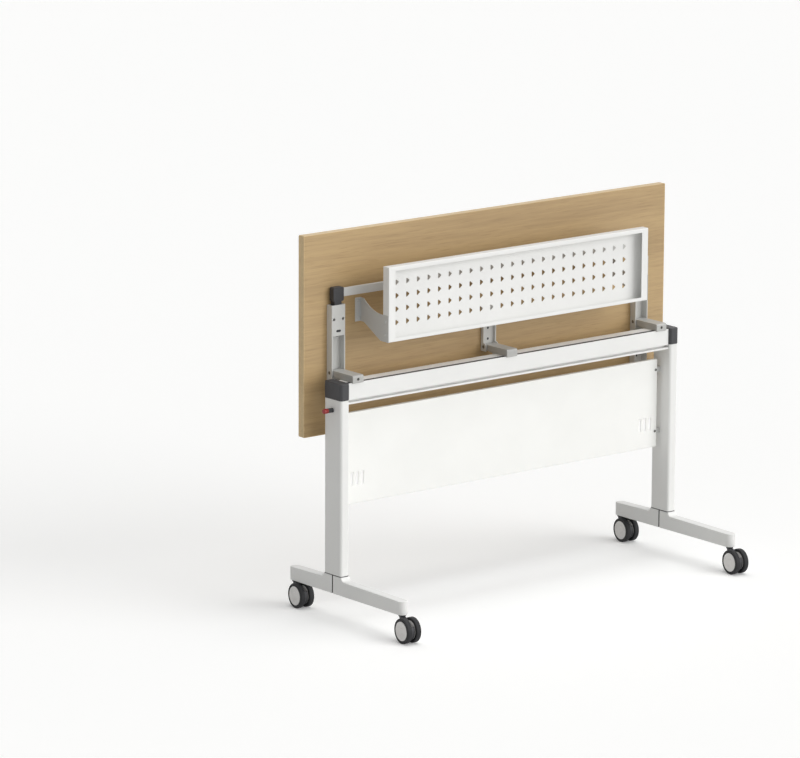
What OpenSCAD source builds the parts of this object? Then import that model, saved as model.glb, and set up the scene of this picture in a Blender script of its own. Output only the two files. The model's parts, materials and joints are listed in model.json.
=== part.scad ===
// Folding training table on twin-wheel casters, stored with its top standing up.
// X runs along the beam, the user's side is -Y, Z is up, and the origin is on
// the floor below the middle of the folded table. Rest is the folded table with
// the latch drawn back; the top swings 90 degrees about X to its place of use.

/* [Top] */
// Length of the top
top_l = 1400; // [1300:10:1800]
// Depth of the top
top_d = 600; // [580:10:700]
// Thickness of the top
top_t = 25; // [20:1:32]
// Thickness of the edge band
edge_t = 2; // [1:0.5:3]
// Corner radius of the top
corner_r = 4; // [3.5:0.5:20]
// Height of the work surface in use
table_h = 760; // [740:5:800]
// From the pivots to the user's edge of the top
front_reach = 414; // [400:2:440]

/* [Posts] */
// From the end of the top to the middle of a post
post_inset = 60; // [50:2:64]
// Width of a post
post_w = 32; // [28:1:36]
// Depth of a post
post_d = 80; // [74:2:96]
// Corner radius of a post
post_r = 8; // [5:1:12]
// Wall of a post
post_wall = 2; // [1.5:0.5:3]
// Gap between the folded top and the posts
post_gap = 40; // [36:1:50]
// Thickness of the plate welded into the foot of a post
post_plate_t = 8; // [6:1:12]
// Height of a corner cap
cap_h = 50; // [46:1:54]
// How far a cap stands proud of its post
cap_proud = 1; // [0.5:0.5:2]
// How far a cap rises above the beam
cap_rise = 2; // [1:1:6]
// Rounding of a cap's top edge
cap_edge = 3; // [1:0.5:5]
// Length of a cap's tongues inside the post and the beam
tongue_l = 20; // [14:1:20]
// Thickness of the gasket below a post
gasket_t = 2; // [1:0.5:4]

/* [Beam] */
// Height of the beam
beam_h = 63; // [58:1:70]
// Depth of the beam
beam_d = 52; // [48:1:56]
// Wall of the beam
beam_wall = 2.5; // [2:0.5:3]
// From the front of the posts back to the front of the beam
beam_setback = 8; // [4:1:12]
// Width of the slot in the top of the beam
slot_w = 12; // [6:1:12]
// Depth of the slot and of the groove
slot_deep = 8; // [5:1:10]
// Thickness of the rib in front of the slot
slot_rib = 2; // [2:0.5:4]
// From the top of the beam down to the strip in its slot
strip_sink = 1; // [0.5:0.5:4]
// Height of the groove along the front of the beam
groove_h = 7.5; // [6:0.5:11]
// Height of the lip below the groove
lip_h = 5.5; // [5:0.5:8]

/* [Feet] */
// Width of a foot
foot_w = 32; // [28:1:40]
// From the middle of a post to the caster in front
foot_front = 306; // [280:2:330]
// From the middle of a post to the caster behind
foot_rear = 195; // [180:2:230]
// Depth of a foot beside the post
foot_mid_h = 44; // [38:0.5:52]
// Depth of the front tip
front_tip_h = 41; // [34:0.5:44]
// Depth of the rear tip
rear_tip_h = 41; // [34:0.5:44]
// Height of the pad that the post stands on
pad_h = 11.5; // [6:0.5:14]
// From the middle of a post to a foot bolt
bolt_reach = 22; // [16:1:26]
// Radius of a foot bolt
bolt_r = 4; // [3:0.5:5]

/* [Casters] */
// Radius of a caster wheel
wheel_r = 37.5; // [35:0.5:40]
// Width over both wheels
caster_w = 48; // [44:1:54]
// Gap between the two wheels
wheel_gap = 13; // [11:1:16]
// Radius of a hub
hub_r = 28.5; // [24:0.5:30]
// From the swivel axis to the wheels' axle
trail = 30; // [27:1:32]
// How far the casters are turned at rest, in degrees
turn = 5.4; // [0:0.2:20]
// From the top of the wheels to the underside of the foot
neck_rise = 3.5; // [3:0.5:8]
// Radius of the neck above the wheels
neck_r = 11; // [9:0.5:12]
// Radius of a stem
stem_r = 5; // [4:0.5:6]
// Depth of a stem's socket in the foot
socket_deep = 24; // [18:1:25]
// Radius of an axle
axle_r = 4; // [3:0.5:5]

/* [Hinges] */
// From the end of the top to the middle of an outer hinge
hinge_inset = 110; // [104:2:150]
// Place of the middle hinge along the beam
middle_x = -5; // [-40:1:40]
// From the underside of the top down to the pivots
pivot_drop = 12; // [11.5:0.5:14]
// Radius of a pivot pin
pivot_r = 5; // [4:0.5:6]
// Width of a hinge bracket
bracket_w = 50; // [46:1:60]
// Depth of a hinge bracket
bracket_deep = 24; // [22:1:26]
// Wall of a hinge bracket
bracket_wall = 4; // [3:0.5:5]
// Web of a hinge bracket, against the top
bracket_web = 3; // [2:0.5:3.5]
// From the pivot to the end of a bracket behind it
bracket_tail = 138; // [100:2:160]
// Height of a bracket's closed latch block
block_h = 92; // [84:2:120]
// Thickness of an arm's nose in front of the beam
nose_t = 5; // [3:0.5:8]
// How far the nose laps down over the beam
nose_lap = 2; // [1:0.5:4]
// Thickness of the hook behind the beam
hook_t = 12; // [8:1:14]
// How far the hook reaches down behind the beam
hook_lap = 9; // [9:1:14]
// Gap between an arm and its bracket
arm_gap = 1; // [0.6:0.2:1.4]
// Length of the middle hinge's bracket above its pivot
middle_plate_l = 130; // [112:2:160]

/* [Latch] */
// From the underside of the top down to the latch pins
latch_drop = 16; // [14:0.5:17]
// Radius of a latch pin
latch_r = 4.5; // [3:0.5:5]
// Travel of the latch
latch_stroke = 10; // [8:1:12]
// How far a drawn latch pin still stands out of its block
latch_out = 3; // [0:0.5:3]
// Gap between the nose and the latch block in use
nose_gap = 4.5; // [4:0.5:8]
// Width of a grip
grip_w = 38; // [34:1:50]
// Height of a grip
grip_h = 42; // [36:0.5:60]
// Width of a grip's neck
neck_w = 26; // [20:1:30]
// Height of the release bar
bar_h = 25; // [20:1:30]
// Thickness of the release bar
bar_t = 8; // [6:1:10]
// Wall of the release bar
bar_wall = 1.5; // [1:0.5:2]

/* [Shelf] */
// From a long bracket to the end of the shelf
shelf_inset = 63; // [30:1:160]
// Depth of the shelf
shelf_d = 222.4; // [200:0.2:222.4]
// Height of the shelf's folded edges
shelf_edge = 28; // [20:1:30]
// Thickness of the shelf's sheet
shelf_t = 1; // [0.8:0.2:2]
// Clear height between the shelf and the top
shelf_clear = 120; // [100:2:130]
// From the pivots to the shelf
shelf_start = 98; // [92:1:110]
// Width of the return along the far edge of the shelf
long_lip = 12; // [8:0.5:16]
// Width of the return along the shelf's edge near the pivots
near_lip = 8; // [6:0.5:16]
// Width of the returns across the ends of the shelf
end_lip = 24.5; // [16:0.5:30]
// Rows of perforations
perf_rows = 4; // [1:1:4]
// Pitch of the perforations
perf_pitch = 40; // [30:1:40]
// From the end of the shelf to the first perforation's place
perf_side = 42; // [40:1:80]
// Width of a perforation
perf_w = 12; // [6:1:16]
// Height of a perforation
perf_h = 16; // [8:1:20]
// Thickness of a hanger
hanger_t = 2; // [1.5:0.5:3]
// Width of a hanger's flange
flange_w = 21; // [18.5:0.5:24]

/* [Modesty panel] */
// Height of the panel
panel_h = 275; // [200:5:290]
// Thickness of the panel's sheet
panel_t = 1.2; // [1:0.2:2]
// Gap between the beam and the panel
panel_drop = 35; // [25:1:60]
// Gap between the panel and a post
panel_gap = 15; // [8:1:20]
// From the front of the posts back to the panel
panel_setback = 42; // [36:1:46]
// Depth of the panel's folded edges
panel_fold = 12; // [8:1:16]
// Slots at each end of the panel
panel_slots = 3; // [1:1:5]
// Width of a slot
panel_slot_w = 8; // [5:1:12]
// Height of a slot
panel_slot_h = 40; // [24:2:60]
// Pitch of the slots
panel_slot_pitch = 20; // [14:1:30]

/* [Plunger] */
// Height of the plunger below the beam
plunger_drop = 17; // [12:1:30]
// Length of the plunger's sleeve outside the post
sleeve_l = 18; // [14:1:24]
// Length of the plunger's knob
knob_l = 16; // [12:1:24]
// Radius of the plunger's knob
knob_r = 7.5; // [7:0.5:12]
// Travel of the plunger
plunger_stroke = 8; // [4:1:10]

/* [Hidden] */
$fn = 48;

// Clearances and the overrun of every cut
run_gap = 0.05;
seat_gap = 0.02;
face_gap = 0.5;
over = 1;

// Small fasteners
screw_r = 2;
screw_head_r = 4;
screw_head_t = 2.5;
wood_bite = 15;
recess_r = 4.5;

// Heights
tip_under_z = 2 * wheel_r + neck_rise;
foot_top_z = tip_under_z + foot_mid_h;
pad_z = foot_top_z + pad_h;
post_z = pad_z + gasket_t;
pivot_z = table_h - top_t - pivot_drop;
beam_top = pivot_z + pivot_drop - bracket_deep - arm_gap;
beam_z = beam_top - beam_h;
cap_top = beam_top + cap_rise;
post_top = cap_top - cap_h;
arm_top = pivot_z + pivot_drop - bracket_web - arm_gap;
panel_top = beam_z - panel_drop;
plunger_z = beam_z - plunger_drop;

// Places along X
post_x = top_l / 2 - post_inset;
hinge_x = top_l / 2 - hinge_inset;
cap_w = post_w + 2 * cap_proud;
beam_l = 2 * post_x - cap_w;
panel_l = 2 * post_x - post_w - 2 * panel_gap;

// Places along Y, from the underside of the folded top
tread_edge = 3;
front_out = post_gap + post_d / 2 + foot_front + (trail + wheel_r) * cos(turn)
    + (caster_w / 2 - tread_edge) * sin(turn);
rear_out = foot_rear + foot_w / 2 - post_gap - post_d / 2;
under_y = (front_out - rear_out) / 2;
post_y = under_y - post_gap - post_d / 2;
post_front = post_y - post_d / 2;
beam_front = post_front + beam_setback;
beam_back = beam_front + beam_d;
panel_y = post_front + panel_setback;
pivot_y = under_y - pivot_drop;
nose_y = beam_front - nose_t;
latch_y = under_y - latch_drop;

// Hinge and latch sizes
eye_r = pivot_drop - bracket_web - face_gap;
arm_w = bracket_w - 2 * bracket_wall - 2 * arm_gap;
block_z = pivot_z + (pivot_y - nose_y) + nose_gap;
block_top = block_z + block_h;
nose_hole_z = table_h - top_t - latch_drop;
nose_hole_deep = latch_stroke + latch_out - nose_gap + nose_t;
grip_z = block_top + latch_stroke + face_gap;
grip_deep = bracket_deep * 0.8;
grip_back = bracket_deep + face_gap - grip_deep;
pocket_wall = 2;
pocket_deep = latch_stroke + grip_w / 5;
bar_z = grip_z + grip_h * 0.6;
bar_y = under_y - bracket_deep + bar_t / 2;
spigot_l = grip_w / 3;
pin_grip = grip_h / 2;
screw_spread = 16.5;
block_screw_rise = block_h * 0.54;
guide_rise = 14.5;
guide_deep = 2.5;
guide_r = 3.5;
guide_spread = 5;
tail_screws = [pivot_z - bracket_tail / 2, pivot_z - bracket_tail * 4 / 5];
middle_screw_shares = [0.16, 0.415];
middle_screws = [for (share = middle_screw_shares) pivot_z + middle_plate_l * share];
middle_foot = bracket_deep - pivot_drop + arm_gap;
hook_screw_spread = arm_w / 4;
hook_screw_z = beam_top - hook_lap / 2;

// Shelf and panel places
shelf_l = 2 * (hinge_x - bracket_w / 2 - shelf_inset);
perf_cols = round((shelf_l - 2 * perf_side) / perf_pitch);
shelf_z = pivot_z + shelf_start;
shelf_back = under_y - shelf_clear;
shelf_front = shelf_back - shelf_edge;
perf_drop = 1.5;
perf_shift = -10;
hanger_low = 40;
hanger_high = 111;
hanger_end = 79;
hanger_run = 110;
hanger_flat = 19;
hanger_foot = 22;
hanger_lean = 12;
shelf_screw_rises = [hanger_end / 4, hanger_end * 3 / 4];
flange_screw_rises = [hanger_low + flange_w / 2, hanger_high - flange_w / 2];
panel_slot_end = 27;
panel_slot_rise = 55;
tab_h = 16;
tab_w = 18;
tab_t = 2;
tab_rise_shares = [0.18, 0.88];
tab_rises = panel_h * tab_rise_shares;

// Caster sizes
neck_top = tip_under_z - face_gap;
neck_z = 2 * wheel_r - neck_rise / 2;
web_t = wheel_gap - 2 * arm_gap;
wheel_w = (caster_w - wheel_gap) / 2;
hub_bore_deep = wheel_w * 0.75;
hub_dish = 1.5;
hub_rim = 5;
tyre_inset = 0.6;
body_r = hub_r - hub_dish;
notch_in = axle_r * 2;
web_reach = neck_r * 0.8;
web_z = neck_z + over;

// Feet and bolts
foot_fillet = 10;
bolt_head_r = 7;
bolt_head_t = 6;
bolt_recess = 10;

// Plunger sizes
thread_r = 6;
thread_l = 8;
plunger_r = 3;
knob_dome = 1;

function arc(c, r, a0, a1, n = 10) =
    [for (i = [0:n]) c + r * [cos(a0 + (a1 - a0) * i / n), sin(a0 + (a1 - a0) * i / n)]];

// Upright rectangle with round corners, centred
module round_rect(w, d, r) {
    square([w - 2 * r, d], center = true);
    square([w, d - 2 * r], center = true);
    for (sx = [-1, 1], sy = [-1, 1])
        translate([sx * (w / 2 - r), sy * (d / 2 - r)]) circle(r);
}

// A section drawn as (Y, Z), run along X about x = 0
module along_x(l) {
    rotate([90, 0, 90]) linear_extrude(l, center = true) children();
}

// A round bar along X, along Y or along Z, from its start
module bar_x(r, l) {
    rotate([0, 90, 0]) cylinder(h = l, r = r);
}
module bar_y(r, l) {
    rotate([-90, 0, 0]) cylinder(h = l, r = r);
}

// A pan-head screw that points along +Y, its head's underside at the origin
module screw_y(grip) {
    bar_y(screw_r, grip);
    translate([0, -screw_head_t, 0]) bar_y(screw_head_r, screw_head_t);
}

// A countersunk screw along +Y, its head flush with the origin
module flush_screw_y(grip) {
    rotate([-90, 0, 0]) {
        cylinder(h = screw_head_r - screw_r, r1 = screw_head_r, r2 = screw_r);
        cylinder(h = grip, r = screw_r);
    }
}
module flush_hole_y(t) {
    rotate([-90, 0, 0]) {
        cylinder(h = screw_head_r - screw_r, r1 = screw_head_r + seat_gap, r2 = screw_r + seat_gap);
        translate([0, 0, -over]) cylinder(h = over + seat_gap, r = screw_head_r + seat_gap);
        cylinder(h = t + over, r = screw_r + seat_gap);
    }
}

// Posts, caps and gaskets

module post(x) {
    translate([x, post_y, 0]) difference() {
        translate([0, 0, post_z]) linear_extrude(post_top - post_z) round_rect(post_w, post_d, post_r);
        translate([0, 0, post_z + post_plate_t]) linear_extrude(post_top - post_z)
            round_rect(post_w - 2 * post_wall, post_d - 2 * post_wall, post_r - post_wall);
        for (s = [-1, 1]) translate([0, s * bolt_reach, post_z - over])
            cylinder(h = post_plate_t + 2 * over, r = bolt_r + seat_gap);
        for (rise = tab_rises) translate([-sign(x) * post_w / 2, tab_screw_y() - post_y, panel_z() + rise])
            rotate([0, -sign(x) * 90, 0]) translate([0, 0, -post_wall - over])
                cylinder(h = post_wall + 2 * over, r = screw_r + seat_gap);
    }
}
function panel_z() = panel_top - panel_h;
function tab_screw_y() = panel_y + panel_t + tab_t + tab_w / 2;

module left_post() {
    color("whitesmoke") difference() {
        post(-post_x);
        translate([-post_x - post_w / 2 - over, post_y, plunger_z])
            bar_x(thread_r + seat_gap, post_wall + 2 * over);
    }
}
module right_post() {
    color("whitesmoke") post(post_x);
}

module post_cap(x) {
    side = -sign(x);
    color("dimgray") translate([x, post_y, 0]) {
        translate([0, 0, post_top]) linear_extrude(cap_h - cap_edge)
            round_rect(cap_w, post_d + 2 * cap_proud, post_r + cap_proud);
        hull() {
            translate([0, 0, cap_top - cap_edge]) linear_extrude(cap_edge / 4)
                round_rect(cap_w, post_d + 2 * cap_proud, post_r + cap_proud, $fn = 32);
            translate([0, 0, cap_top - cap_edge / 3]) linear_extrude(cap_edge / 3)
                round_rect(cap_w - cap_edge, post_d + 2 * cap_proud - cap_edge, post_r, $fn = 32);
        }
        translate([0, 0, post_top - tongue_l]) linear_extrude(tongue_l + cap_edge)
            round_rect(post_w - 2 * post_wall - 2 * seat_gap, post_d - 2 * post_wall - 2 * seat_gap,
                post_r - post_wall);
        translate([side * (cap_w / 2 - cap_edge), beam_front - post_y, 0])
            mirror([side < 0 ? 1 : 0, 0, 0]) rotate([90, 0, 90]) linear_extrude(tongue_l + cap_edge)
                beam_core();
    }
}
module left_post_cap() {
    post_cap(-post_x);
}
module right_post_cap() {
    post_cap(post_x);
}

module post_gaskets() {
    color("dimgray") for (s = [-1, 1]) translate([s * post_x, post_y, pad_z]) difference() {
        linear_extrude(gasket_t) round_rect(post_w + cap_proud, post_d + cap_proud, post_r);
        for (e = [-1, 1]) translate([0, e * bolt_reach, -over])
            cylinder(h = gasket_t + 2 * over, r = bolt_r + run_gap);
    }
}

// Beam: section drawn from its front face, in (depth, height)

module beam_cuts(grow) {
    translate([slot_rib - grow, beam_top - slot_deep - grow])
        square([slot_w + 2 * grow, slot_deep + grow + over]);
    translate([-over, beam_z + lip_h - grow])
        square([slot_deep + grow + over, groove_h + 2 * grow]);
}
module beam_void(gap) {
    difference() {
        translate([beam_wall + gap, beam_z + beam_wall + gap])
            square([beam_d - 2 * (beam_wall + gap), beam_h - 2 * (beam_wall + gap)]);
        beam_cuts(beam_wall + gap);
    }
}
// The part of the void that a cap's tongue fills, behind the slot and above the groove
module beam_core() {
    intersection() {
        beam_void(seat_gap);
        translate([slot_rib + slot_w + beam_wall + seat_gap, post_top])
            square([beam_d, beam_h]);
    }
}
module crossbeam() {
    color("whitesmoke") difference() {
        translate([0, beam_front, 0]) along_x(beam_l) difference() {
            translate([0, beam_z]) square([beam_d, beam_h]);
            beam_cuts(0);
            beam_void(0);
        }
        for (x = [-hinge_x, middle_x, hinge_x], s = [-1, 1])
            translate([x + s * hook_screw_spread, beam_back - beam_wall - over, hook_screw_z])
                bar_y(screw_r + seat_gap, beam_wall + 2 * over);
    }
}

// A soft strip that fills the slot in the beam's top
module slot_strip() {
    color("dimgray") translate([0, beam_front, 0]) along_x(beam_l)
        translate([slot_rib + seat_gap, beam_top - slot_deep])
            square([slot_w - 2 * seat_gap, slot_deep - strip_sink]);
}

// Modesty panel

module slot_outline(w, h) {
    square([w, h - w], center = true);
    for (s = [-1, 1]) translate([0, s * (h - w) / 2]) circle(w / 2);
}
module modesty_panel() {
    color("gainsboro") difference() {
        translate([0, panel_y, 0]) along_x(panel_l) {
            translate([0, panel_z()]) square([panel_t, panel_h]);
            for (z = [panel_z(), panel_top - panel_t]) translate([0, z]) square([panel_fold, panel_t]);
        }
        for (s = [-1, 1], i = [0:panel_slots - 1])
            translate([s * (panel_l / 2 - panel_slot_end - i * panel_slot_pitch), panel_y - over,
                panel_z() + panel_slot_rise + panel_slot_h / 2])
                rotate([-90, 0, 0]) linear_extrude(panel_t + 2 * over)
                    slot_outline(panel_slot_w, panel_slot_h);
        for (s = [-1, 1], rise = tab_rises)
            translate([s * (panel_l / 2 - tab_w / 3), panel_y - over, panel_z() + rise])
                bar_y(screw_r + seat_gap, panel_t + 2 * over);
    }
}
module panel_tab(s) {
    reach = panel_gap + tab_w * 2 / 3;
    difference() {
        union() {
            translate([s > 0 ? -reach : 0, 0, -tab_h / 2]) cube([reach, tab_t, tab_h]);
            translate([s > 0 ? -tab_t : 0, 0, -tab_h / 2]) cube([tab_t, tab_w + tab_t, tab_h]);
        }
        translate([-s * (panel_gap + tab_w / 3), -over, 0]) bar_y(screw_r + seat_gap, tab_t + 2 * over);
        translate([-tab_t - over, tab_t + tab_w / 2, 0]) bar_x(screw_r + seat_gap, 2 * tab_t + 2 * over);
    }
}
module panel_brackets() {
    color("silver") for (s = [-1, 1], rise = tab_rises)
        translate([s * (post_x - post_w / 2), panel_y + panel_t, panel_z() + rise]) panel_tab(s);
}
module panel_screws() {
    color("silver") for (s = [-1, 1], rise = tab_rises) {
        translate([s * (panel_l / 2 - tab_w / 3), panel_y, panel_z() + rise])
            screw_y(panel_t + tab_t + screw_r);
        translate([s * (post_x - post_w / 2 - tab_t), tab_screw_y(), panel_z() + rise])
            rotate([0, 0, -s * 90]) screw_y(tab_t + post_wall + screw_r);
    }
}

// Feet: a cast arm each way from the middle of the post

module foot_side(reach, tip_h) {
    pad_l = post_d / 2 + cap_proud;
    end = reach + foot_w / 2;
    polygon(concat(
        [[0, tip_under_z], [end, tip_under_z], [end, tip_under_z + tip_h], [pad_l + foot_fillet, foot_top_z]],
        [for (i = [1:3]) [pad_l + foot_fillet * (1 - i / 4), foot_top_z + pad_h * pow(i / 4, 2)]],
        [[pad_l, pad_z], [0, pad_z]]));
}
module foot_arm(x, dir, reach, tip_h) {
    color("whitesmoke") translate([x, post_y, 0]) mirror([0, dir < 0 ? 1 : 0, 0]) difference() {
        intersection() {
            along_x(foot_w) foot_side(reach, tip_h);
            translate([0, 0, tip_under_z]) linear_extrude(pad_z) {
                translate([-foot_w / 2, 0]) square([foot_w, reach]);
                translate([0, reach]) circle(foot_w / 2);
            }
        }
        translate([0, reach, tip_under_z - over]) cylinder(h = socket_deep + over, r = stem_r + run_gap);
        translate([0, bolt_reach, 0]) cylinder(h = pad_z + over, r = bolt_r + seat_gap);
        translate([0, bolt_reach, 0]) cylinder(h = tip_under_z + bolt_recess, r = bolt_head_r + run_gap);
    }
}
module left_front_foot() {
    foot_arm(-post_x, -1, foot_front, front_tip_h);
}
module left_rear_foot() {
    foot_arm(-post_x, 1, foot_rear, rear_tip_h);
}
module right_front_foot() {
    foot_arm(post_x, -1, foot_front, front_tip_h);
}
module right_rear_foot() {
    foot_arm(post_x, 1, foot_rear, rear_tip_h);
}
module foot_bolts() {
    head_z = tip_under_z + bolt_recess - bolt_head_t;
    color("silver") for (s = [-1, 1], e = [-1, 1]) translate([s * post_x, post_y + e * bolt_reach, 0])
        difference() {
            union() {
                translate([0, 0, head_z]) cylinder(h = bolt_head_t, r = bolt_head_r);
                translate([0, 0, head_z]) cylinder(h = post_z + post_plate_t - head_z, r = bolt_r);
            }
            translate([0, 0, head_z - over]) cylinder(h = bolt_head_t / 2 + over, r = bolt_r, $fn = 6);
        }
}

// Hinge arms, clamped over the beam

module arm_side() {
    corner = nose_t;
    polygon(concat(
        [[nose_y, beam_top - nose_lap]],
        arc([nose_y + corner, arm_top - corner], corner, 180, 90, 6),
        arc([pivot_y, pivot_z], eye_r, asin((arm_top - pivot_z) / eye_r), -90, 16),
        [[beam_back + hook_t, beam_top], [beam_back + hook_t, beam_top - hook_lap],
         [beam_back, beam_top - hook_lap], [beam_back, beam_top], [beam_front, beam_top], [beam_front, beam_top - nose_lap]]));
}
module hinge_arm(x, holed) {
    color("silver") translate([x, 0, 0]) difference() {
        along_x(arm_w) arm_side();
        translate([-arm_w / 2 - over, pivot_y, pivot_z]) bar_x(pivot_r + seat_gap, arm_w + 2 * over);
        if (holed) translate([0, nose_y - over, nose_hole_z])
            bar_y(latch_r, nose_hole_deep + over);
        for (s = [-1, 1]) translate([s * hook_screw_spread, beam_back - over, hook_screw_z])
            bar_y(screw_r + seat_gap, hook_t + 2 * over);
    }
}
module left_hinge_arm() {
    hinge_arm(-hinge_x, true);
}
module middle_hinge_arm() {
    hinge_arm(middle_x, false);
}
module right_hinge_arm() {
    hinge_arm(hinge_x, true);
}
module arm_screws() {
    color("silver") for (x = [-hinge_x, middle_x, hinge_x], s = [-1, 1])
        translate([x + s * hook_screw_spread, beam_back + hook_t, hook_screw_z])
            rotate([0, 0, 180]) screw_y(hook_t + beam_wall + 2 * screw_r);
}
module pivot_pins() {
    color("silver") for (x = [-hinge_x, middle_x, hinge_x])
        translate([x - bracket_w / 2, pivot_y, pivot_z]) bar_x(pivot_r, bracket_w);
}

// Plunger on the left post

module plunger_sleeve() {
    color("black") translate([-post_x - post_w / 2, post_y, plunger_z]) difference() {
        union() {
            translate([-sleeve_l, 0, 0]) bar_x(knob_r - knob_dome / 2, sleeve_l);
            bar_x(thread_r, thread_l);
        }
        translate([-sleeve_l - over, 0, 0]) bar_x(plunger_r + run_gap, sleeve_l + thread_l + 2 * over);
    }
}
module plunger_knob() {
    color("firebrick") translate([-post_x - post_w / 2 - sleeve_l - face_gap / 2, post_y, plunger_z])
        rotate([0, -90, 0]) difference() {
            union() {
                cylinder(h = knob_l - knob_dome, r = knob_r);
                cylinder(h = knob_l, r = knob_r - knob_dome);
            }
            translate([0, 0, -over]) cylinder(h = knob_l / 2 + over, r = plunger_r + seat_gap);
        }
}
module plunger_pin() {
    color("silver") translate([-post_x - post_w / 2 - sleeve_l - face_gap / 2, post_y, plunger_z]) {
        translate([-knob_l / 2, 0, 0]) bar_x(plunger_r, knob_l / 2 + sleeve_l + thread_l + plunger_r);
    }
}

// Top

module upright_plate(w, h, r) {
    rotate([-90, 0, 0]) linear_extrude(top_t) round_rect(w, h, r);
}
module place_top() {
    translate([0, under_y, pivot_z + front_reach - top_d / 2]) children();
}
module tabletop() {
    color("burlywood") difference() {
        place_top() upright_plate(top_l - 2 * edge_t, top_d - 2 * edge_t, corner_r - edge_t);
        for (p = wood_screws()) translate([p[0], under_y - over, p[1]])
            bar_y(screw_r + seat_gap, wood_bite + over);
    }
}
module edge_band() {
    color("tan") place_top() difference() {
        upright_plate(top_l, top_d, corner_r);
        translate([0, -over, 0]) scale([1, (top_t + 2 * over) / top_t, 1])
            upright_plate(top_l - 2 * edge_t, top_d - 2 * edge_t, corner_r - edge_t);
    }
}

// Every screw that enters the top, as (X, Z)
function hinge_screws(x) = concat(
    [for (s = [-1, 1]) [x + s * screw_spread, block_z + block_screw_rise]],
    [for (z = tail_screws) [x, z]]);
function hanger_screw_x(s) = s * (shelf_l / 2 - hanger_lean + (flange_w + hanger_t) / 2);
function wood_screws() = concat(
    hinge_screws(-hinge_x), hinge_screws(hinge_x),
    [for (z = middle_screws) [middle_x, z]],
    [for (s = [-1, 1], rise = flange_screw_rises) [hanger_screw_x(s), shelf_z + rise]]);

// Brackets under the top

module bracket_outline(edge) {
    translate([-bracket_w / 2, -bracket_deep + edge]) square([bracket_w, bracket_deep - edge]);
    translate([-bracket_w / 2 + edge, -bracket_deep]) square([bracket_w - 2 * edge, bracket_deep]);
    for (s = [-1, 1]) translate([s * (bracket_w / 2 - edge), -bracket_deep + edge]) circle(edge);
}
module channel_outline() {
    inner = bracket_w - 2 * bracket_wall;
    difference() {
        bracket_outline(bracket_wall / 4);
        translate([-inner / 2, -bracket_deep - over])
            square([inner, bracket_deep - bracket_web + over]);
    }
}
module latch_bracket(x) {
    inner = bracket_w - 2 * bracket_wall;
    tail_z = pivot_z - bracket_tail;
    color("gainsboro") translate([x, under_y, 0]) difference() {
        union() {
            translate([0, 0, tail_z]) linear_extrude(block_z - tail_z) channel_outline();
            translate([0, 0, block_z]) linear_extrude(block_h) bracket_outline(bracket_wall / 2);
        }
        translate([-inner / 2, -bracket_deep + pocket_wall, block_top - pocket_deep])
            cube([inner, bracket_deep - pocket_wall - bracket_web, pocket_deep + over]);
        translate([0, -latch_drop, block_z - over]) cylinder(h = block_h + 2 * over, r = latch_r);
        translate([-bracket_w / 2 - over, -pivot_drop, pivot_z])
            bar_x(pivot_r + run_gap, bracket_w + 2 * over);
        for (s = [-1, 1]) translate([s * screw_spread, -bracket_deep - over, block_z + block_screw_rise]) {
            bar_y(recess_r, bracket_deep - 2 * bracket_web + over);
            bar_y(screw_r + seat_gap, bracket_deep + 2 * over);
        }
        translate([0, -bracket_deep - over, block_z + guide_rise]) {
            for (s = [-1, 1]) translate([s * guide_spread, 0, 0]) bar_y(guide_r, guide_deep + over);
            translate([-guide_spread, 0, -guide_r]) cube([2 * guide_spread, guide_deep + over, 2 * guide_r]);
        }
        for (z = tail_screws) translate([0, -bracket_web, z]) flush_hole_y(bracket_web);
    }
}
module left_bracket() {
    latch_bracket(-hinge_x);
}
module right_bracket() {
    latch_bracket(hinge_x);
}
module middle_bracket() {
    low = pivot_z - middle_foot;
    high = pivot_z + middle_plate_l;
    color("gainsboro") translate([middle_x, under_y, 0]) difference() {
        union() {
            translate([-bracket_w / 2, -bracket_web, low])
                cube([bracket_w, bracket_web, high - low]);
            for (s = [-1, 1]) translate([s * (bracket_w - bracket_wall) / 2, 0, 0])
                along_x(bracket_wall) polygon(concat(
                    [[0, low], [-bracket_deep, low]],
                    arc([-pivot_drop, pivot_z], bracket_deep - pivot_drop, 180, 90, 8),
                    [[-pivot_drop, high], [0, high]]));
        }
        translate([-bracket_w / 2 - over, -pivot_drop, pivot_z])
            bar_x(pivot_r + run_gap, bracket_w + 2 * over);
        for (z = middle_screws) translate([0, -bracket_web, z]) flush_hole_y(bracket_web);
    }
}
module bracket_screws() {
    color("darkgray") {
        for (x = [-hinge_x, hinge_x]) {
            for (s = [-1, 1]) translate([x + s * screw_spread, under_y - 2 * bracket_web, block_z + block_screw_rise])
                screw_y(2 * bracket_web + wood_bite);
            translate([x, under_y - bracket_deep + guide_deep - screw_head_t / 2, block_z + guide_rise])
                bar_y(guide_r - run_gap, screw_head_t / 2);
            for (z = tail_screws) translate([x, under_y - bracket_web, z])
                flush_screw_y(bracket_web + wood_bite);
        }
        for (z = middle_screws) translate([middle_x, under_y - bracket_web, z])
            flush_screw_y(bracket_web + wood_bite);
    }
}

// Shelf: a folded tray, open to the front, with a hanger at each end

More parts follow.
